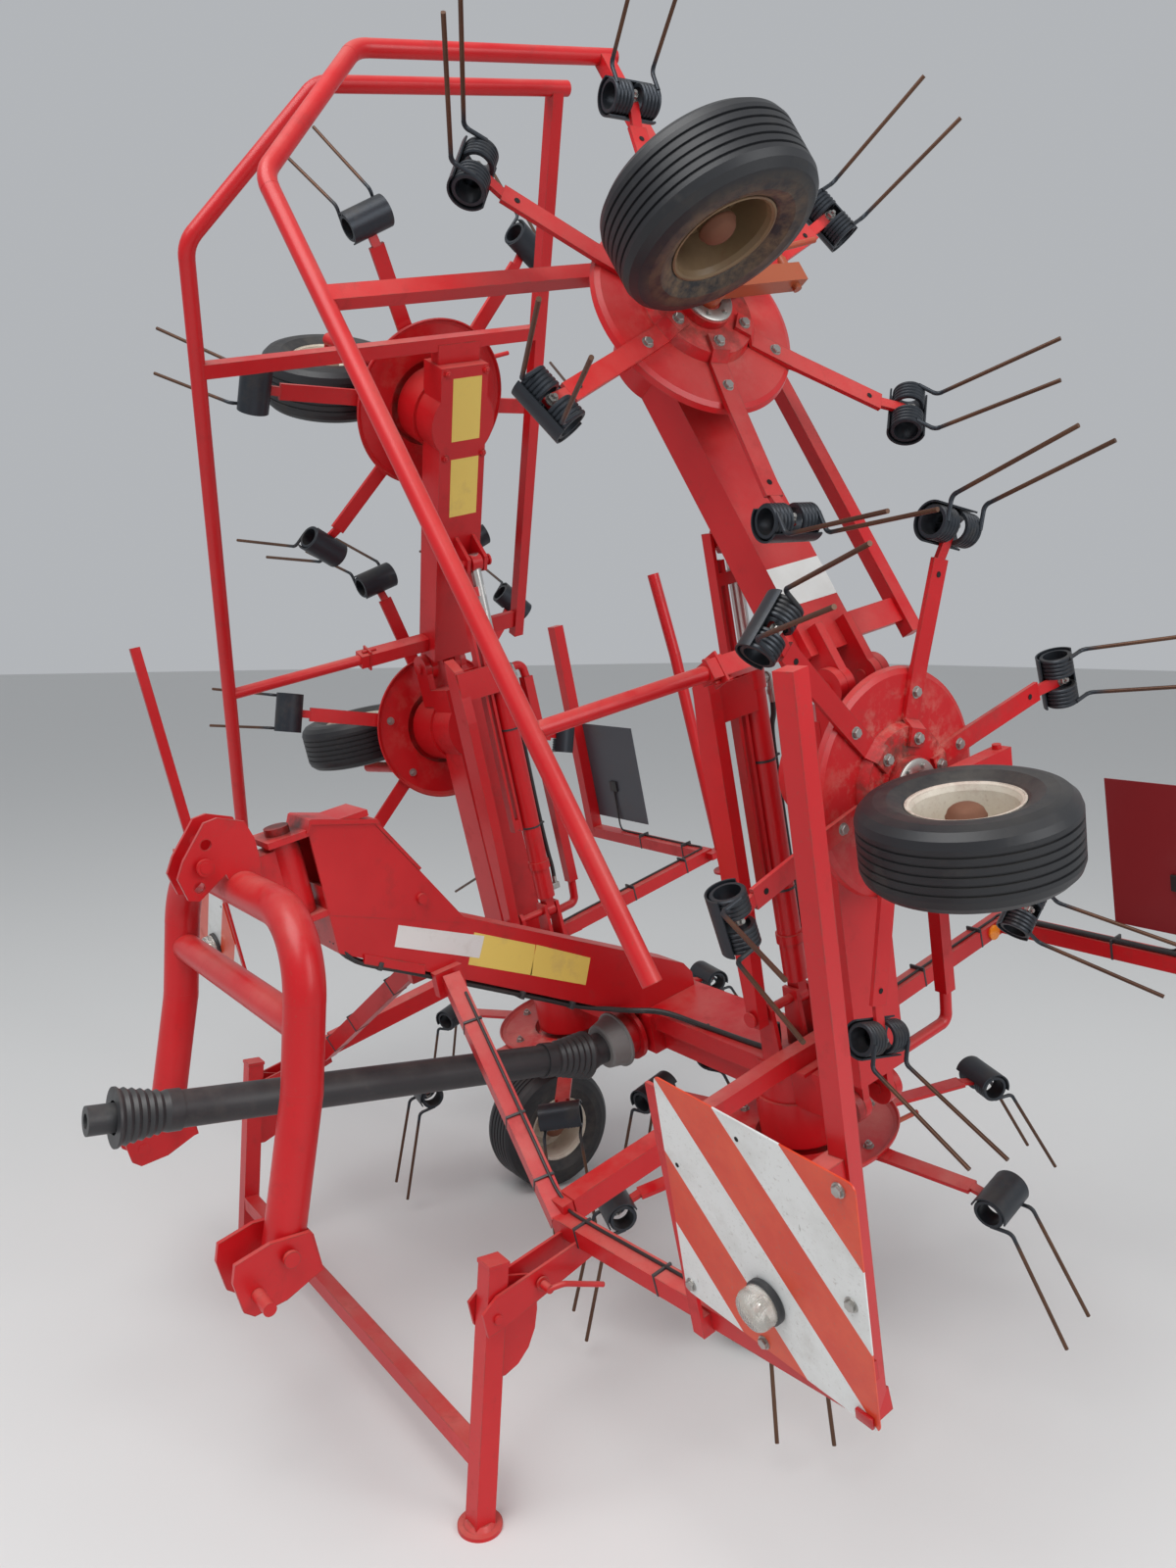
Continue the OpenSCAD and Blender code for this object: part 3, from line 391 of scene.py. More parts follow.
# %% Layers for the finishes
grease_black, scuffed_pink = (0.035, 0.016, 0.012), (0.55, 0.20, 0.16)
seam_brown, wire_brown = (0.075, 0.032, 0.020), (0.125, 0.062, 0.036)
rod_silver, core_blur = (0.60, 0.60, 0.58), 0.003


def greasy(places, colour=grease_black, strength=0.85):
    def layer(tree, where, tone):
        for place, reach in places:
            near = place_group(tree, near_tree, {"Place": place, "Reach": reach})
            tone = stain(tree, near.outputs["Mask"], strength, tone, colour)
        return tone
    return layer


def along_axis(tree, matrix):
    direction = (matrix.to_3x3() @ Vector((0, 0, 1))).normalized()
    return place_group(tree, axis_tree, {"Origin": matrix.translation, "Axis": direction}).outputs


def hub_wear(matrix, pink, rust):
    def layer(tree, where, tone):
        radius = along_axis(tree, matrix)["Radius"]
        patchy = ramp(tree, noise(tree, where, 11.0, 7.0, 0.72), 0.50, 0.62)
        inside = ramp(tree, radius, 0.26, 0.08)
        tone = stain(tree, times(tree, patchy, inside), pink, tone, scuffed_pink)
        seam = times(tree, ramp(tree, radius, 0.150, 0.128),
                     ramp(tree, noise(tree, where, 17.0, 6.0, 0.7), 0.46, 0.66))
        return stain(tree, seam, rust, tone, seam_brown)
    return layer


def rusted_below(matrix, low, high, colour):
    def layer(tree, where, tone):
        along = along_axis(tree, matrix)["Along"]
        height = plus(tree, along, times(tree, noise(tree, where, 12.0, 3.0, 0.5), 0.03))
        patchy = ramp(tree, noise(tree, where, 9.0, 3.0, 0.5), 0.30, 0.70)
        brown = mix_colour(tree, patchy, colour, wire_brown)
        return mix_colour(tree, ramp(tree, height, high, low), tone, brown)
    return layer


def ringed(matrix, low, high, colour, strength):
    def layer(tree, where, tone):
        radius = along_axis(tree, matrix)["Radius"]
        patchy = ramp(tree, noise(tree, where, 22.0, 7.0, 0.7), 0.38, 0.62)
        ring = times(tree, ramp(tree, radius, high, low), patchy)
        return stain(tree, ring, strength, tone, colour)
    return layer


def half_painted(axis, colour):
    def layer(tree, where, tone):
        across = place_group(tree, axis_tree, {"Axis": axis}).outputs["Along"]
        return mix_colour(tree, ramp(tree, across, -0.1, 0.1), tone, colour)
    return layer


def bright_core(matrix, radius):
    def layer(tree, where, tone):
        from_axis = along_axis(tree, matrix)["Radius"]
        core = ramp(tree, from_axis, radius + core_blur, radius)
        tree.links.new(core, tree.nodes["Principled BSDF"].inputs["Metallic"])
        return mix_colour(tree, core, tone, rod_silver)
    return layer


print("layers ready")

# %% [markdown]
# Dark steel, rubber and plastic
# These share one recipe: a base colour, dust that settles on top, blotches of dirt and a fine
# grain. Only their values differ, so one function makes them all.

# %% Material: dark steel, rubber, plastic and plate
def worn_dark(name, colour, dusty, metallic, gloss, blotch=8.0, dust=0.5, layers=()):
    material, tree, shader = new_material(name)
    where = object_place(tree)
    weather = place_group(tree, weather_tree, {"Dust": dust, "Blotch size": blotch})
    tone = mix_colour(tree, weather.outputs["Dust mask"], colour, dusty)
    tone = stain(tree, weather.outputs["Grime mask"], 0.4, tone, dusty)
    for layer in layers:
        tone = layer(tree, where, tone)
    tree.links.new(tone, shader.inputs["Base Color"])
    rough = plus(tree, times(tree, weather.outputs["Grime mask"], 0.25), gloss)
    tree.links.new(rough, shader.inputs["Roughness"])
    shader.inputs["Metallic"].default_value = metallic
    grain = noise(tree, where, 120.0, 4.0, 0.6)
    bump = plug(tree, "ShaderNodeBump", {"Height": grain, "Strength": 0.15, "Distance": 0.001})
    tree.links.new(bump.outputs["Normal"], shader.inputs["Normal"])
    return material


dark_plastic = worn_dark("dark plastic", (0.030, 0.031, 0.034), (0.11, 0.10, 0.09), 0.0, 0.45)
grey_plastic = worn_dark("grey plastic", (0.20, 0.20, 0.195), (0.32, 0.29, 0.25), 0.0, 0.5)
side_to_side, panel_red = (1, 0, 0), (0.22, 0.010, 0.014)
rear_plate = worn_dark("rear panel", (0.060, 0.066, 0.080), (0.14, 0.12, 0.11), 0.0, 0.42,
                       layers=[half_painted(side_to_side, panel_red)])
print("dark finishes", dark_plastic.name, grey_plastic.name, rear_plate.name)

# %% [markdown]
# Zinc, rust and coloured plastic
# The fasteners are zinc plated and have gone dull, the hub caps have rusted through their
# paint, and the reflectors are moulded plastic. Each gets the same weather as its neighbours.

# %% Materials for the small pieces
zinc = worn_dark("dull zinc", (0.42, 0.41, 0.39), (0.24, 0.19, 0.15), 0.85, 0.38, 14.0)
rusty_cap = worn_dark("rusty cap", (0.17, 0.065, 0.035), (0.27, 0.13, 0.075), 0.25, 0.72, 10.0)
black_rubber = worn_dark("black hose", (0.016, 0.016, 0.017), (0.075, 0.066, 0.058),
                         0.0, 0.42, 12.0, 0.35)
# The near-black hole finish is painted shade: it stands for the dark inside of a hole.
hole_shade = worn_dark("painted hole shade", (0.006, 0.005, 0.005), (0.02, 0.014, 0.012),
                      0.0, 0.9, 12.0, 0.2)
amber = worn_dark("amber reflector", (0.80, 0.23, 0.010), (0.62, 0.25, 0.06),
                  0.0, 0.18, 9.0, 0.25)
red_glass = worn_dark("red reflector", (0.42, 0.006, 0.010), (0.40, 0.06, 0.04),
                      0.0, 0.2, 9.0, 0.25)
blank_white = worn_dark("blank white label", (0.72, 0.72, 0.70), (0.46, 0.40, 0.34),
                        0.0, 0.42, 20.0, 0.3)
blank_yellow = worn_dark("blank yellow label", (0.80, 0.60, 0.13), (0.50, 0.34, 0.15),
                         0.0, 0.42, 20.0, 0.3)
print("small finishes", zinc.name, rusty_cap.name)

# %% [markdown]
# Small turned and six-sided pieces
# A bolt head is a washer, a hexagon with a chamfer and the end of its thread. Each is made from
# short cones and set into one shared mesh for each body, because hundreds of loose objects
# would hide what belongs together.


# %% Mesh helpers
def cone_in(bm, matrix, low, high, radius_low, radius_high, count=24):
    bmesh.ops.create_cone(bm, cap_ends=True, segments=count, radius1=radius_low,
                          radius2=radius_high, depth=high - low,
                          matrix=moved(matrix, 0, 0, (low + high) / 2))


def bolt_in(bm, matrix, across=0.019, head=0.008, end=0.0):
    corner, seat = across / math.sqrt(3), 0.0022
    cone_in(bm, matrix, 0.0, 0.0025, corner * 1.28, corner * 1.24)
    cone_in(bm, matrix, seat, seat + head * 0.8, corner, corner, 6)
    cone_in(bm, matrix, seat + head * 0.8, seat + head, corner, corner * 0.86, 6)
    if end:
        cone_in(bm, matrix, seat + head * 0.9, seat + head + end, across * 0.30, across * 0.26, 16)


def join_rings(bm, rings):
    for low, high in zip(rings, rings[1:]):
        for k in range(max(len(low), len(high))):
            four = [low[k % len(low)], low[(k + 1) % len(low)],
                    high[(k + 1) % len(high)], high[k % len(high)]]
            corners = list(dict.fromkeys(four))
            if len(corners) > 2:
                bm.faces.new(corners)


def ring_in(bm, matrix, radius, height, count):
    angles = [2 * math.pi * k / count for k in range(count if radius > 0 else 1)]
    points = [(radius * math.cos(angle), radius * math.sin(angle), height) for angle in angles]
    return [bm.verts.new(matrix @ Vector(point)) for point in points]


def turned_in(bm, matrix, outline, count=48):
    join_rings(bm, [ring_in(bm, matrix, radius, height, count) for radius, height in outline])


def slab_in(bm, matrix, low, high, bevel=0.0):
    centre = (Vector(low) + Vector(high)) / 2
    size = Vector(high) - Vector(low)
    made = bmesh.ops.create_cube(bm, size=1.0,
                                 matrix=moved(matrix, *centre) @ Matrix.Diagonal((*size, 1)))
    if bevel:
        edges = list({edge for vert in made["verts"] for edge in vert.link_edges})
        bmesh.ops.bevel(bm, geom=edges, offset=bevel, segments=2, affect="EDGES", profile=0.6)


def finish_piece(name, bm, material, body, angle=35):
    bmesh.ops.recalc_face_normals(bm, faces=bm.faces)
    mesh = bpy.data.meshes.new(name)
    bm.to_mesh(mesh)
    bm.free()
    mesh.shade_smooth()
    mesh.set_sharp_from_angle(angle=math.radians(angle))
    mesh.materials.append(material)
    piece = add_object(name, mesh)
    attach(piece, body)
    return piece


print("mesh helpers ready")

# %% [markdown]
# Rotor fasteners
# Every arm is held to its disc by two bolts from below, and the nut of the outer one shows on
# top. A third bolt, at the arm's end, holds the coils. A zinc ring with six screws closes the
# hub below, and on the near folded wing that side is turned to the camera.

# %% Bolts, hub rings and painted shade in the arm holes on each rotor
arms, arm_step = 6, 60
arm_bolts = ((0.103, -0.229), (0.200, -0.206))
nut_reach, nut_face = 0.200, -0.192
tine_bolt_reach, saddle_face = 0.550, -0.240
hole_reach, shade_disc_base, shade_disc_face = 0.450, -0.2238, -0.2232
screw_reach, screw_face = 0.048, -0.2445
hub_ring_outline = [(0.0335, -0.2400), (0.0335, -0.2440), (0.0350, -0.2450), (0.0600, -0.2450),
                    (0.0620, -0.2438), (0.0620, -0.2400), (0.0335, -0.2400)]
down = Matrix.Rotation(math.pi, 4, "X")
for key, station in stations.items():
    bolts, hole_shades, ring = bmesh.new(), bmesh.new(), bmesh.new()
    for arm in range(arms):
        turn = spun(station["rotor"], station["phase"] + arm_step * arm, "Z")
        for reach, face in arm_bolts:
            bolt_in(bolts, moved(turn, reach, 0, face) @ down)
        bolt_in(bolts, moved(turn, nut_reach, 0, nut_face), 0.019, 0.010, 0.005)
        bolt_in(bolts, moved(turn, tine_bolt_reach, 0, saddle_face) @ down, 0.019, 0.010, 0.006)
        # Each arm hole is a thin near-black disc on top of the arm: painted shade for the hole's
        # dark inside.
        cone_in(hole_shades, moved(turn, hole_reach, 0, 0), shade_disc_base, shade_disc_face, 0.0065, 0.0065, 20)
        screw = spun(station["rotor"], arm_step / 2 + arm_step * arm, "Z")
        bolt_in(bolts, moved(screw, screw_reach, 0, screw_face) @ down, 0.010, 0.004)
    turned_in(ring, station["rotor"], hub_ring_outline)
    finish_piece("rotor_bolts_" + key, bolts, zinc, "rotor_" + key)
    finish_piece("arm_hole_shade_" + key, hole_shades, hole_shade, "rotor_" + key)
    finish_piece("hub_ring_" + key, ring, zinc, "rotor_" + key)
print("rotor fasteners on", len(stations), "rotors")

# %% [markdown]
# Hub caps
# A pressed cap closes each wheel hub. Its paint is gone and it has rusted evenly, so it is a
# thin turned shell over the hub's own cap, with a rolled lip where it was tapped on.

# %% Rusty caps on the wheels
cap_outline = [(0.0364, 0.036), (0.0384, 0.036), (0.0386, 0.039), (0.0368, 0.0415),
               (0.0328, 0.0512), (0.0270, 0.0566), (0.0206, 0.0602), (0.0100, 0.0624),
               (0, 0.0632)]
for key, station in stations.items():
    cap = bmesh.new()
    turned_in(cap, station["axle"], cap_outline)
    finish_piece("hub_cap_" + key, cap, rusty_cap, "wheel_" + key, 50)
print("cap width", 2 * max(radius for radius, height in cap_outline))

# %% [markdown]
# Front marker panels
# Each panel is a thin plate with rounded corners and slanted red bands on white sheet. The bands
# run at a slant to both edges, so one dot product along that slant tells red from white, and
# taking the distance from the middle gives the far panel the mirrored bands it has.

# %% Plates of the marker panels
panel_half = 0.225
panel_centre = (1.393, -0.8703, 0.367)
panel_turn = 3
corner_r, corner_steps = 0.014, 6
panel_edges = ((0.0, 0.0), (0.0, -0.0024), (0.0006, -0.003))
outline = []
for quarter, (sx, sz) in enumerate(((1, 1), (-1, 1), (-1, -1), (1, -1))):
    for step in range(corner_steps):
        angle = math.radians(90 * quarter + 90 / (corner_steps - 1) * step)
        outline.append((sx * (panel_half - corner_r) + corner_r * math.cos(angle),
                        sz * (panel_half - corner_r) + corner_r * math.sin(angle)))
panel_places = {side: spun(moved(base, *panel_centre), panel_turn, "Y")
                for side, base in sides.items()}
plates = bmesh.new()
for panel in panel_places.values():
    rims = []
    for inset, depth in panel_edges:
        keep = 1 - inset / panel_half
        rims.append([plates.verts.new(panel @ Vector((x * keep, depth, z * keep)))
                     for x, z in outline])
    plates.faces.new(rims[0])
    plates.faces.new(list(reversed(rims[-1])))
    join_rings(plates, rims)
print("panel centre", [round(v, 3) for v in panel_places["L"].translation])

# %% Material: striped sheet
band_pairs, half_band, band_blur = 1.5, 0.25, 0.003
marker_sheet, sheet, sheet_shader = new_material("striped sheet")
sheet_where = object_place(sheet)
outward = plug(sheet, "ShaderNodeVectorMath", {0: sheet_where},
               operation="ABSOLUTE").outputs["Vector"]
apart = plug(sheet, "ShaderNodeSeparateXYZ", {"Vector": outward}).outputs["X"]
level = plug(sheet, "ShaderNodeSeparateXYZ", {"Vector": sheet_where}).outputs
folded = plug(sheet, "ShaderNodeCombineXYZ",
              {"X": apart, "Y": level["Y"], "Z": level["Z"]}).outputs["Vector"]
slant = (panel_places["L"].to_3x3() @ Vector((1, 0, 1))) / (2 * panel_half)
slant_start = slant.dot(panel_places["L"].translation)
along_slant = plug(sheet, "ShaderNodeVectorMath", {0: folded, 1: slant},
                   operation="DOT_PRODUCT").outputs["Value"]
bands = maths(sheet, "FRACT",
              times(sheet, maths(sheet, "SUBTRACT", along_slant, slant_start), band_pairs))
from_middle = maths(sheet, "ABSOLUTE", maths(sheet, "SUBTRACT", bands, half_band))
is_white = ramp(sheet, from_middle, half_band - band_blur, half_band + band_blur)
fading = noise(sheet, sheet_where, 7.0, 6.0, 0.65)
red_band = mix_colour(sheet, ramp(sheet, fading, 0.40, 0.66),
                      (0.62, 0.040, 0.012), (0.70, 0.075, 0.025))
white_band = mix_colour(sheet, ramp(sheet, fading, 0.44, 0.70),
                        (0.72, 0.73, 0.72), (0.60, 0.60, 0.58))
sheet_tone = mix_colour(sheet, is_white, red_band, white_band)
sheet_weather = place_group(sheet, weather_tree, {"Dust": 0.3, "Blotch size": 6.0}).outputs
sheet_tone = stain(sheet, sheet_weather["Grime mask"], 0.22, sheet_tone, (0.30, 0.24, 0.19))
sheet_tone = stain(sheet, sheet_weather["Speckle"], 0.35, sheet_tone, (0.22, 0.16, 0.12))
stretched = plug(sheet, "ShaderNodeMapping", {"Vector": sheet_where, "Scale": (90.0, 90.0, 6.0),
                                              "Rotation": (0.3, 0.5, 0.0)}).outputs["Vector"]
scratches = ramp(sheet, noise(sheet, stretched, 1.0, 2.0, 0.5), 0.74, 0.78)
sheet_tone = stain(sheet, scratches, 0.6, sheet_tone, (0.25, 0.22, 0.20))
sheet.links.new(sheet_tone, sheet_shader.inputs["Base Color"])
sheet.links.new(plus(sheet, times(sheet, sheet_weather["Grime mask"], 0.25), 0.32),
                sheet_shader.inputs["Roughness"])
panel_plates = finish_piece("marker_plates", plates, marker_sheet, "frame")
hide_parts("marker_panels")
print("bands slant by", [round(v, 2) for v in slant])

# %% [markdown]
# Side lamps
# The lamp on each panel is a clear lens on a black moulded base. Upright flutes on its rim and a
# bright bowl behind it break the light up, so it looks clear and deep instead of white.

# %% Materials: clear lens and reflector bowl
clear_lens, lens_tree, lens_shader = new_material("clear lens")
lens_where = object_place(lens_tree)
lens_dust = ramp(lens_tree, noise(lens_tree, lens_where, 38.0, 5.0, 0.6), 0.45, 0.75)
lens_tone = stain(lens_tree, lens_dust, 0.5, (0.93, 0.91, 0.86), (0.62, 0.53, 0.42))
lens_tree.links.new(lens_tone, lens_shader.inputs["Base Color"])
lens_tree.links.new(plus(lens_tree, times(lens_tree, lens_dust, 0.2), 0.05),
                    lens_shader.inputs["Roughness"])
lens_shader.inputs["Transmission Weight"].default_value = 0.8
lens_shader.inputs["IOR"].default_value = 1.45
lens_ribs = plug(lens_tree, "ShaderNodeTexWave", {"Vector": lens_where, "Scale": 60.0},
                 bands_direction="X").outputs["Fac"]
lens_bump = plug(lens_tree, "ShaderNodeBump",
                 {"Height": lens_ribs, "Strength": 0.25, "Distance": 0.002})
lens_tree.links.new(lens_bump.outputs["Normal"], lens_shader.inputs["Normal"])
bowl_silver = worn_dark("lamp bowl", (0.78, 0.77, 0.74), (0.55, 0.50, 0.42), 0.6, 0.2, 20.0, 0.2)
print("lens", clear_lens.name)

# %% Lamps on the panels
lamp_centre = (1.389, -0.8736, 0.258)
housing_outline = [(0, 0), (0.038, 0), (0.040, 0.002), (0.040, 0.011), (0.0375, 0.0135),
                   (0.0340, 0.0135), (0.0340, 0.009), (0, 0.009)]
bowl_outline = [(0, 0.0095), (0.012, 0.0100), (0.024, 0.0120), (0.0330, 0.0175),
                (0.0336, 0.0175), (0.0336, 0.0092), (0, 0.0092)]
bulb_outline = [(0.0065, 0.0098), (0.0070, 0.018), (0.0090, 0.023), (0.0075, 0.029), (0, 0.0315)]
flutes, flute_depth = 72, 0.0007
lens_rows = [(0.0362, 0.0115, False), (0.0366, 0.0150, True), (0.0366, 0.0340, True),
             (0.0330, 0.0415, False), (0.0240, 0.0450, False), (0.0120, 0.0458, False)]
for side, base in sides.items():
    lamp_place = spun(moved(base, *lamp_centre), 90, "X")
    housing, lens, bowl = bmesh.new(), bmesh.new(), bmesh.new()
    turned_in(housing, lamp_place, housing_outline, 56)
    turned_in(bowl, lamp_place, bowl_outline, 48)
    turned_in(bowl, lamp_place, bulb_outline, 24)
    rings = []
    for radius, height, fluted in lens_rows:
        ring = []
        for k in range(flutes):
            reach = radius - flute_depth * (k % 2) if fluted else radius
            angle = 2 * math.pi * k / flutes
            ring.append(lens.verts.new(
                lamp_place @ Vector((reach * math.cos(angle), reach * math.sin(angle), height))))
        rings.append(ring)
    join_rings(lens, rings)
    lens.faces.new(rings[-1])
    lens.faces.new(list(reversed(rings[0])))
    shell = finish_piece("lamp_base_" + side, housing, dark_plastic, "frame")
    if side == "L":
        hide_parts("marker_lamps")
    finish_piece("lamp_bowl_" + side, bowl, bowl_silver, "frame")
    finish_piece("lamp_lens_" + side, lens, clear_lens, "frame", 50)
print("lamp width", 2 * max(radius for radius, height in housing_outline))

# %% Panel bolts, painted shade in the holes, and the red reflector
panel_size, panel_face = 0.45, -0.003
bolt_shares = ((0.93, 0.05), (0.93, 0.50), (0.04, 0.95), (0.45, 0.97))
hole_shares = ((0.45, 0.08), (0.07, 0.37))


def on_panel(panel, across, drop):
    place = moved(panel, (across - 0.5) * panel_size, panel_face, (0.5 - drop) * panel_size)
    return spun(place, 90, "X")


for side, panel in panel_places.items():
    bolts, hole_shades, glass = bmesh.new(), bmesh.new(), bmesh.new()
    for shares in bolt_shares:
        bolt_in(bolts, on_panel(panel, *shares), 0.017, 0.006)
    for shares in hole_shares:
        # Each hole is a thin near-black disc on the panel: painted shade for the dark hole.
        cone_in(hole_shades, on_panel(panel, *shares), 0.0, 0.0004, 0.0045, 0.0045, 20)
    finish_piece("panel_bolts_" + side, bolts, zinc, "frame")
    finish_piece("panel_hole_shade_" + side, hole_shades, hole_shade, "frame")
    slab_in(glass, panel, (0.182, -0.0100, -0.2190), (0.216, -0.0031, -0.1990), 0.002)
    finish_piece("corner_reflector_" + side, glass, red_glass, "frame")
print("panel bolts", len(bolt_shares))

# %% [markdown]
# Labels, band and side reflectors
# Each label is a blank plate, because only its place and colour belong to a reusable part. It is
# half a millimetre thick or a little more, so that its edges catch some light.


# %% Blank labels
def label_in(bm, matrix, corners, lift):
    rims = [[bm.verts.new(matrix @ (Vector(corner) + Vector(lift) * share)) for corner in corners]
            for share in (0.2, 1.0)]
    join_rings(bm, rims)
    bm.faces.new(rims[1])
    bm.faces.new(list(reversed(rims[0])))


beam_side = 0.062
beam_labels = {
    "white": (0.0009, [(-0.793, 0.610), (-0.566, 0.489), (-0.595, 0.437), (-0.817, 0.560)]),
    "yellow_front": (0.0005, [(-0.592, 0.510), (-0.421, 0.405), (-0.453, 0.327), (-0.630, 0.433)]),
    "yellow_rear": (0.0005, [(-0.418, 0.404), (-0.257, 0.298), (-0.291, 0.228), (-0.457, 0.329)])}
for name, (thick, corners) in beam_labels.items():
    plate = bmesh.new()
    label_in(plate, parked, [(beam_side, y, z) for y, z in corners], (thick, 0, 0))
    finish_piece("label_" + name, plate, blank_white if name == "white" else blank_yellow,
                 "frame")
wing_labels = {"low": (2.460, 2.645), "high": (2.700, 2.888)}
label_low, label_high = -0.040, 0.058
for name, (near_x, far_x) in wing_labels.items():
    plate = bmesh.new()
    corners = [(near_x, label_low, 0), (far_x, label_low, 0),
               (far_x, label_high, 0), (near_x, label_high, 0)]
    label_in(plate, stations["3R"]["section"], corners, (0, 0, 0.0005))
    finish_piece("label_wing_" + name, plate, blank_yellow, "wing_outer_R")
band_start, band_end, band_half, band_face = 2.070, 2.165, 0.0798, -0.098
band_corners = [(band_start, -band_half, band_face), (band_end, -band_half, band_face),
                (band_end, band_half, band_face), (band_start, band_half, band_face)]
for side in sides:
    band = bmesh.new()
    label_in(band, stations["3" + side]["section"], band_corners, (0, 0, -0.0006))
    finish_piece("white_band_" + side, band, blank_white, "wing_outer_" + side)
print("labels", len(beam_labels) + len(wing_labels))

# %% Amber reflectors and wing face bolts
reflector_place = (0.6725, 0.7186, 0.1240)
reflector_outline = [(0, 0), (0.0215, 0), (0.0220, 0.002), (0.0220, 0.006), (0.0205, 0.0078),
                     (0.0120, 0.0086), (0, 0.0088)]
face_bolts = [(x, y) for x in (2.652, 2.903) for y in (-0.060, 0.071)]
for side, base in sides.items():
    glass, bolts = bmesh.new(), bmesh.new()
    turned_in(glass, spun(moved(base, *reflector_place), 90, "Y"), reflector_outline)
    finish_piece("amber_reflector_" + side, glass, amber, "frame")
    for x, y in face_bolts:
        bolt_in(bolts, moved(stations["3" + side]["section"], x, y, 0), 0.017, 0.007, 0.003)
    finish_piece("wing_face_bolts_" + side, bolts, red_paint, "wing_outer_" + side)
print("wing face bolts", len(face_bolts))

# %% [markdown]
# Cables and hoses that are strapped down
# Thin cables run along the frame bars to the panels, held by black straps, and hoses follow the
# main beam. They never hang free, so they are tubes whose points are given along each bar: a
# share of its length, then how far sideways and how far up from its middle line.


# %% Tube and strap helpers
def smooth_path(points, steps=6):
    path = []
    padded = [points[0]] + points + [points[-1]]
    for k in range(1, len(padded) - 2):
        before, start, end, after = padded[k - 1:k + 3]
        for step in range(steps):
            t = step / steps
            path.append(0.5 * ((2 * start) + (end - before) * t
                               + (2 * before - 5 * start + 4 * end - after) * t * t
                               + (3 * start - before - 3 * end + after) * t ** 3))
    return path + [points[-1]]


def tube_in(bm, points, radius, count=10):
    path = smooth_path(points)
    across = Vector((0, 0, 1))
    rings = []
    for k, point in enumerate(path):
        ahead = (path[min(k + 1, len(path) - 1)] - path[max(k - 1, 0)]).normalized()
        if abs(ahead.dot(across)) > 0.95:
            across = Vector((1, 0, 0))
        sideways = ahead.cross(across).normalized()
        across = sideways.cross(ahead).normalized()
        angles = [2 * math.pi * j / count for j in range(count)]
        spokes = [sideways * math.cos(angle) + across * math.sin(angle) for angle in angles]
        rings.append([bm.verts.new(point + spoke * radius) for spoke in spokes])
    join_rings(bm, rings)
    bm.faces.new(rings[0])
    bm.faces.new(list(reversed(rings[-1])))


def bar_frame(start, end):
    start, end = Vector(start), Vector(end)
    along = end - start
    turn = Matrix.Rotation(math.atan2(along.y, along.x), 4, "Z")
    tilt = Matrix.Rotation(-math.asin(along.z / along.length), 4, "Y")
    return Matrix.Translation(start) @ turn @ tilt, along.length


def on_bar(bar, shares, sideways, up):
    placed, length = bar
    return [placed @ Vector((share * length, sideways, up)) for share in shares]


def strap_in(bm, matrix, bar, share, width, height, lift=0.004):
    placed, length = bar
    x, half = share * length, 0.003
    slab_in(bm, matrix @ placed, (x - half, -width / 2, -height / 2),
            (x + half, width / 2, height / 2 + lift), 0.001)


front_knee, rear_knee = (0.650, -0.832, 0.041), (0.650, 0.775, 0.130)
brace = bar_frame((0.092, -0.700, 0.430), front_knee)
cross_bar = bar_frame(front_knee, (1.557, -0.817, 0.113))
rear_side = bar_frame((0.650, 0.130, 0.0913), (0.650, 0.798, 0.130))
rear_cross = bar_frame(rear_knee, (1.382, 0.775, 0.130))
print("bars", [round(length, 3) for placed, length in (brace, cross_bar, rear_side, rear_cross)])

# %% Cables along the frame bars
cable_r, thick_cable_r = 0.0036, 0.0066
front_run = [
    *on_bar(brace, (0.10, 0.28, 0.50, 0.72, 0.90), 0.013, 0.0265),
    *on_bar(brace, (0.975,), 0.020, 0.030),
    *on_bar(cross_bar, (0.035,), 0.012, 0.0262),
    *on_bar(cross_bar, (0.12, 0.26, 0.42, 0.55, 0.66), 0.010, 0.0248),
    Vector((1.300, -0.858, 0.135)), Vector((1.350, -0.8655, 0.190)),
    Vector((1.389, -0.8660, 0.252))]
rear_run = [
    Vector((0.640, 0.098, 0.122)),
    *on_bar(rear_side, (0.05, 0.25, 0.50, 0.75, 0.90), -0.008, 0.0262),
    *on_bar(rear_cross, (0.02, 0.12, 0.30, 0.50, 0.66), 0.004, 0.0262),
    Vector((1.180, 0.786, 0.165)), Vector((1.190, 0.792, 0.230)), Vector((1.190, 0.7935, 0.330))]
thick_run = on_bar(rear_cross, (0.03, 0.20, 0.42, 0.64, 0.93), -0.012, 0.0295)
strap_rows = [(brace, (0.22, 0.62, 0.86), 0.0485, 0.0485, 0.004),
              (cross_bar, (0.10, 0.40), 0.0485, 0.0445, 0.004),
              (rear_side, (0.42, 0.80), 0.0475, 0.0475, 0.010),
              (rear_cross, (0.14, 0.50), 0.0475, 0.0475, 0.010)]
for side, base in sides.items():
    cables, straps = bmesh.new(), bmesh.new()
    tube_in(cables, [base @ point for point in front_run], cable_r)
    tube_in(cables, [base @ point for point in rear_run], cable_r)
    if side == "L":
        tube_in(cables, [base @ point for point in thick_run], thick_cable_r, 12)
    for bar, shares, width, height, lift in strap_rows:
        for share in shares:
            strap_in(straps, base, bar, share, width, height, lift)
    slab_in(cables, base, (1.168, 0.7905, 0.318), (1.212, 0.7975, 0.362), 0.002)
    finish_piece("frame_cables_" + side, cables, black_rubber, "frame", 60)
    finish_piece("cable_straps_" + side, straps, dark_plastic, "frame")
print("points on the front run", len(front_run), "and the rear run", len(rear_run))

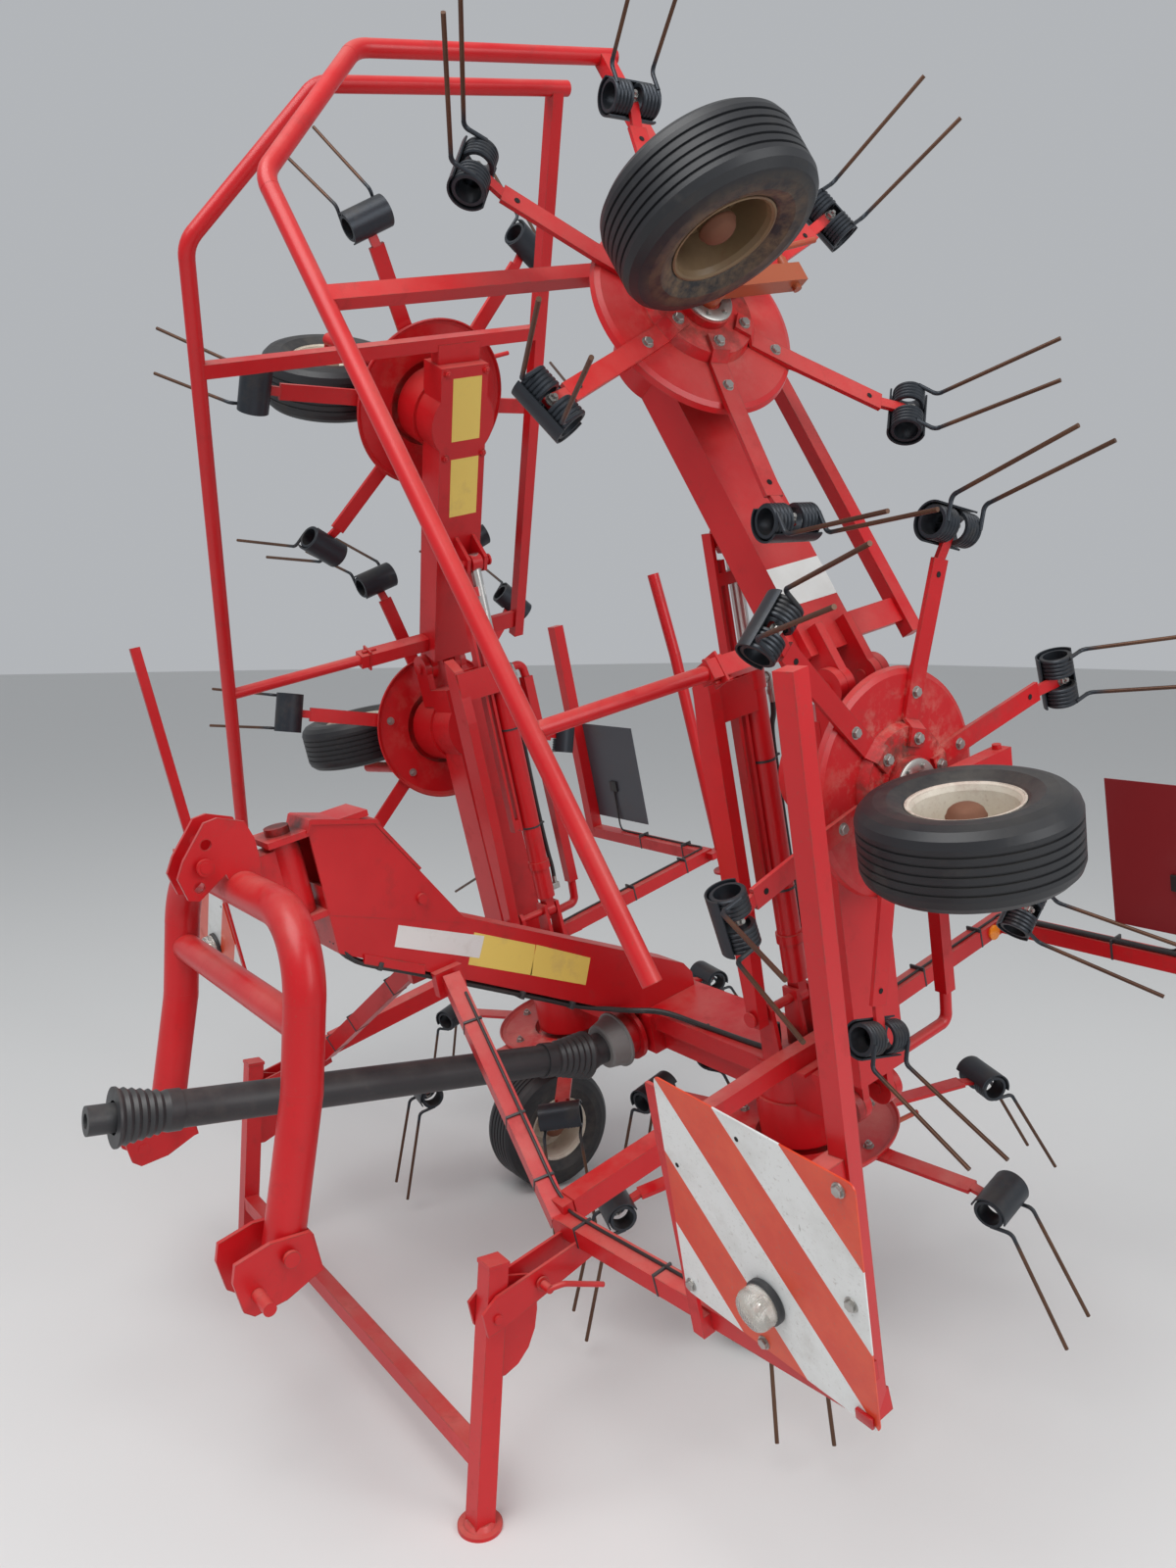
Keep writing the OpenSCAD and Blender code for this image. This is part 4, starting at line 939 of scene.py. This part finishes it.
# %% Hoses along the main beam
beam_edge = bar_frame((0, -0.960, 0.600), (0, -0.150, 0.074))
centre_top = 0.069
hoses, clips = bmesh.new(), bmesh.new()
hose_rows = ((0.050, 0.0075, 0.545), (0.030, 0.0075, -0.545), (0.064, 0.0045, 0.30))
for lane, radius, far_x in hose_rows:
    run = [Vector((lane - 0.012, -0.955, 0.625))]
    run += [point + Vector((lane, 0, 0))
            for point in on_bar(beam_edge, (0.06, 0.22, 0.38, 0.52, 0.66, 0.80), 0.0, -0.011)]
    sign = 1 if far_x > 0 else -1
    run += [Vector((lane + 0.03 * sign, -0.195, 0.112)),
            Vector((0.16 * sign, -0.118, 0.080 + 2 * radius)),
            Vector((0.30 * sign, -0.085, centre_top + radius)),
            Vector((far_x, -0.070, centre_top + radius))]
    if abs(far_x) > 0.5:
        run += [Vector((far_x + 0.02 * sign, -0.055, 0.090)),
                Vector((far_x + 0.022 * sign, -0.050, 0.150))]
    tube_in(hoses, [parked @ point for point in run], radius, 12)
edge_place, edge_length = beam_edge
clip_half = 0.006
for share in (0.12, 0.32, 0.58, 0.76):
    x = share * edge_length
    slab_in(clips, parked @ edge_place, (x - clip_half, -0.073, -0.0205),
            (x + clip_half, -0.019, 0.001), 0.002)
finish_piece("beam_hoses", hoses, black_rubber, "frame", 60)
finish_piece("beam_hose_clips", clips, dark_plastic, "frame")
print("hoses along the beam", round(edge_length, 3), "m")

# %% [markdown]
# Cylinder fittings
# Each fold cylinder is fed at its top end. A banjo block and an elbow stand on the barrel, and
# the hose runs back down its rear side under two black bands, so it swings with the barrel.

# %% Fittings, hoses and bands on the barrels
base_pin = Vector((0.588, 0.020, 0.210))
lug = outer_wing @ Vector((2.321, 0.020, 0.058))
lean = math.atan2(lug.x - base_pin.x, lug.z - base_pin.z)
barrels = {side: base @ Matrix.Translation(base_pin) @ Matrix.Rotation(lean, 4, "Y")
           for side, base in sides.items()}
port_height, hose_stand = 0.835, 0.060
elbow = [(0, 0.048, 0.836), (0, 0.056, 0.832), (0, hose_stand, 0.820), (0, hose_stand, 0.800)]
hose_run = [(0, hose_stand, 0.775), (0, 0.056, 0.740), (0, 0.0425, 0.690), (0, 0.0405, 0.520),
            (0, 0.0405, 0.330), (0, 0.0440, 0.200), (0, 0.0480, 0.140), (0, 0.0470, 0.095)]
band_outline = [(0.0305, -0.003), (0.0325, -0.003), (0.0325, 0.003), (0.0305, 0.003),
                (0.0305, -0.003)]
for side, barrel in barrels.items():
    steel, hose, bands = bmesh.new(), bmesh.new(), bmesh.new()
    banjo = spun(moved(barrel, 0, 0.028, port_height), -90, "X")
    cone_in(steel, banjo, 0, 0.022, 0.013, 0.012, 24)
    bolt_in(steel, spun(moved(barrel, 0, 0.049, port_height), -90, "X"), 0.021, 0.008)
    cone_in(steel, moved(barrel, 0, hose_stand, 0.770), 0, 0.040, 0.0085, 0.0095, 20)
    cone_in(steel, moved(barrel, 0, hose_stand, 0.790), 0, 0.012, 0.0115, 0.0115, 6)
    tube_in(steel, [barrel @ Vector(point) for point in elbow], 0.0072, 14)
    tube_in(hose, [barrel @ Vector(point) for point in hose_run], 0.0070, 12)
    cone_in(steel, moved(barrel, 0, 0.047, 0.078), 0, 0.026, 0.0088, 0.0088, 6)
    slab_in(steel, barrel, (-0.012, 0.018, 0.060), (0.012, 0.057, 0.082), 0.003)
    for height in (0.300, 0.640):
        turned_in(bands, moved(barrel, 0, 0, height), band_outline, 40)
        slab_in(bands, barrel, (-0.010, 0.026, height - 0.003),
                (0.010, 0.0495, height + 0.003), 0.001)
    finish_piece("cylinder_fittings_" + side, steel, zinc, "barrel_" + side)
    finish_piece("cylinder_hose_" + side, hose, black_rubber, "barrel_" + side, 60)
    finish_piece("cylinder_bands_" + side, bands, dark_plastic, "barrel_" + side)
print("cylinder lean", round(math.degrees(lean), 2))

# %% [markdown]
# Finishes by node
# Most nodes share the plain red. Rotors, tines and wheels get finishes of their own, because
# their marks follow their axes. The headstock and beams get grease round swivel and hinges, two
# legs get rust where the lever sits, and the rods are bright only near their own axis.

# %% Finishes of beams, rods and legs
swivel_spots = ((0, -1.010, 0.925), (0, -1.010, 0.700), (0, -0.965, 0.905))
hinge_spots = ((0.805, -0.07, 0), (0.588, 0, 0.075))
swivel = [parked @ Vector(spot) for spot in swivel_spots]
hinges = [base @ Vector(spot) for base in sides.values() for spot in hinge_spots]
grease_reach = 0.075
greased_red = painted("red paint, greased", *red,
                      layers=[greasy([(place, grease_reach) for place in swivel + hinges])])
node_finish = {"headstock": greased_red, "main_beam": greased_red, "centre_beam": greased_red,
               "rear_panels": rear_plate}
rod_r = 0.018
for side, barrel in barrels.items():
    node_finish["rod_" + side] = painted("rod and guide " + side, *red,
                                         layers=[bright_core(barrel, rod_r)])
lever_place, rust_reach, rust_orange = Vector((0, 0.150, -0.245)), 0.42, (0.30, 0.085, 0.030)
for key in ("3L", "1L"):
    lever = stations[key]["rotor"] @ lever_place
    node_finish["leg_" + key] = painted("leg paint " + key, *red,
                                        layers=[greasy([(lever, rust_reach)], rust_orange, 0.85)])
print("grease at", len(swivel + hinges), "places")

# %% Finishes of rotors and wheels
cream = ((0.60, 0.55, 0.44), (0.68, 0.64, 0.55))
muddy_cream = ((0.17, 0.110, 0.055), (0.25, 0.17, 0.09))
tine_blue, tine_dust = (0.030, 0.036, 0.045), (0.10, 0.085, 0.07)
tine_brown = (0.085, 0.040, 0.024)
coil_foot, rust_start = -0.300, -0.272
rubber_black, rubber_dust = (0.011, 0.012, 0.015), (0.060, 0.053, 0.045)
for key, station in stations.items():
    muddy = key == "3L"
    pink, rust = (1.0, 0.9) if key in ("2L", "1R") else (0.35, 0.6)
    node_finish["rotor_" + key] = painted("disc paint " + key, *red,
                                          layers=[hub_wear(station["rotor"], pink, rust)])
    wire_rust = rusted_below(station["rotor"], coil_foot, rust_start, tine_brown)
    node_finish["tines_" + key] = worn_dark("tine steel " + key, tine_blue, tine_dust, 0.55, 0.40,
                                            layers=[wire_rust])
    mud, mud_strength = ((0.13, 0.085, 0.05), 0.95) if muddy else ((0.30, 0.16, 0.09), 0.55)
    rim_mud = ringed(station["axle"], 0.050, 0.115, mud, mud_strength)
    node_finish["rim_" + key] = painted("rim paint " + key, *(muddy_cream if muddy else cream),
                                        0.9, 0.5, 0.5, layers=[rim_mud])
    soil, soil_strength = ((0.15, 0.10, 0.055), 0.9) if muddy else ((0.075, 0.066, 0.055), 0.5)
    tyre_soil = ringed(station["axle"], 0.130, 0.185, soil, soil_strength)
    node_finish["tyre_" + key] = worn_dark("tyre rubber " + key, rubber_black, rubber_dust,
                                           0.0, 0.46, 3.0, 0.5, layers=[tyre_soil])
print("finishes of their own", len(node_finish))

# %% Give each node its finish
finishes = {"paint": red_paint, "dark_plastic": dark_plastic, "grey_plastic": grey_plastic,
            "marker": marker_sheet, "lens": clear_lens}
slot_of = {part["node"]: part["material_slot"] for part in frame["record"]["subparts"]}
for name, node in nodes.items():
    node.data.materials.clear()
    finish = node_finish[name] if name in node_finish else finishes[slot_of[name]]
    node.data.materials.append(finish)
print("finished nodes", len(slot_of))
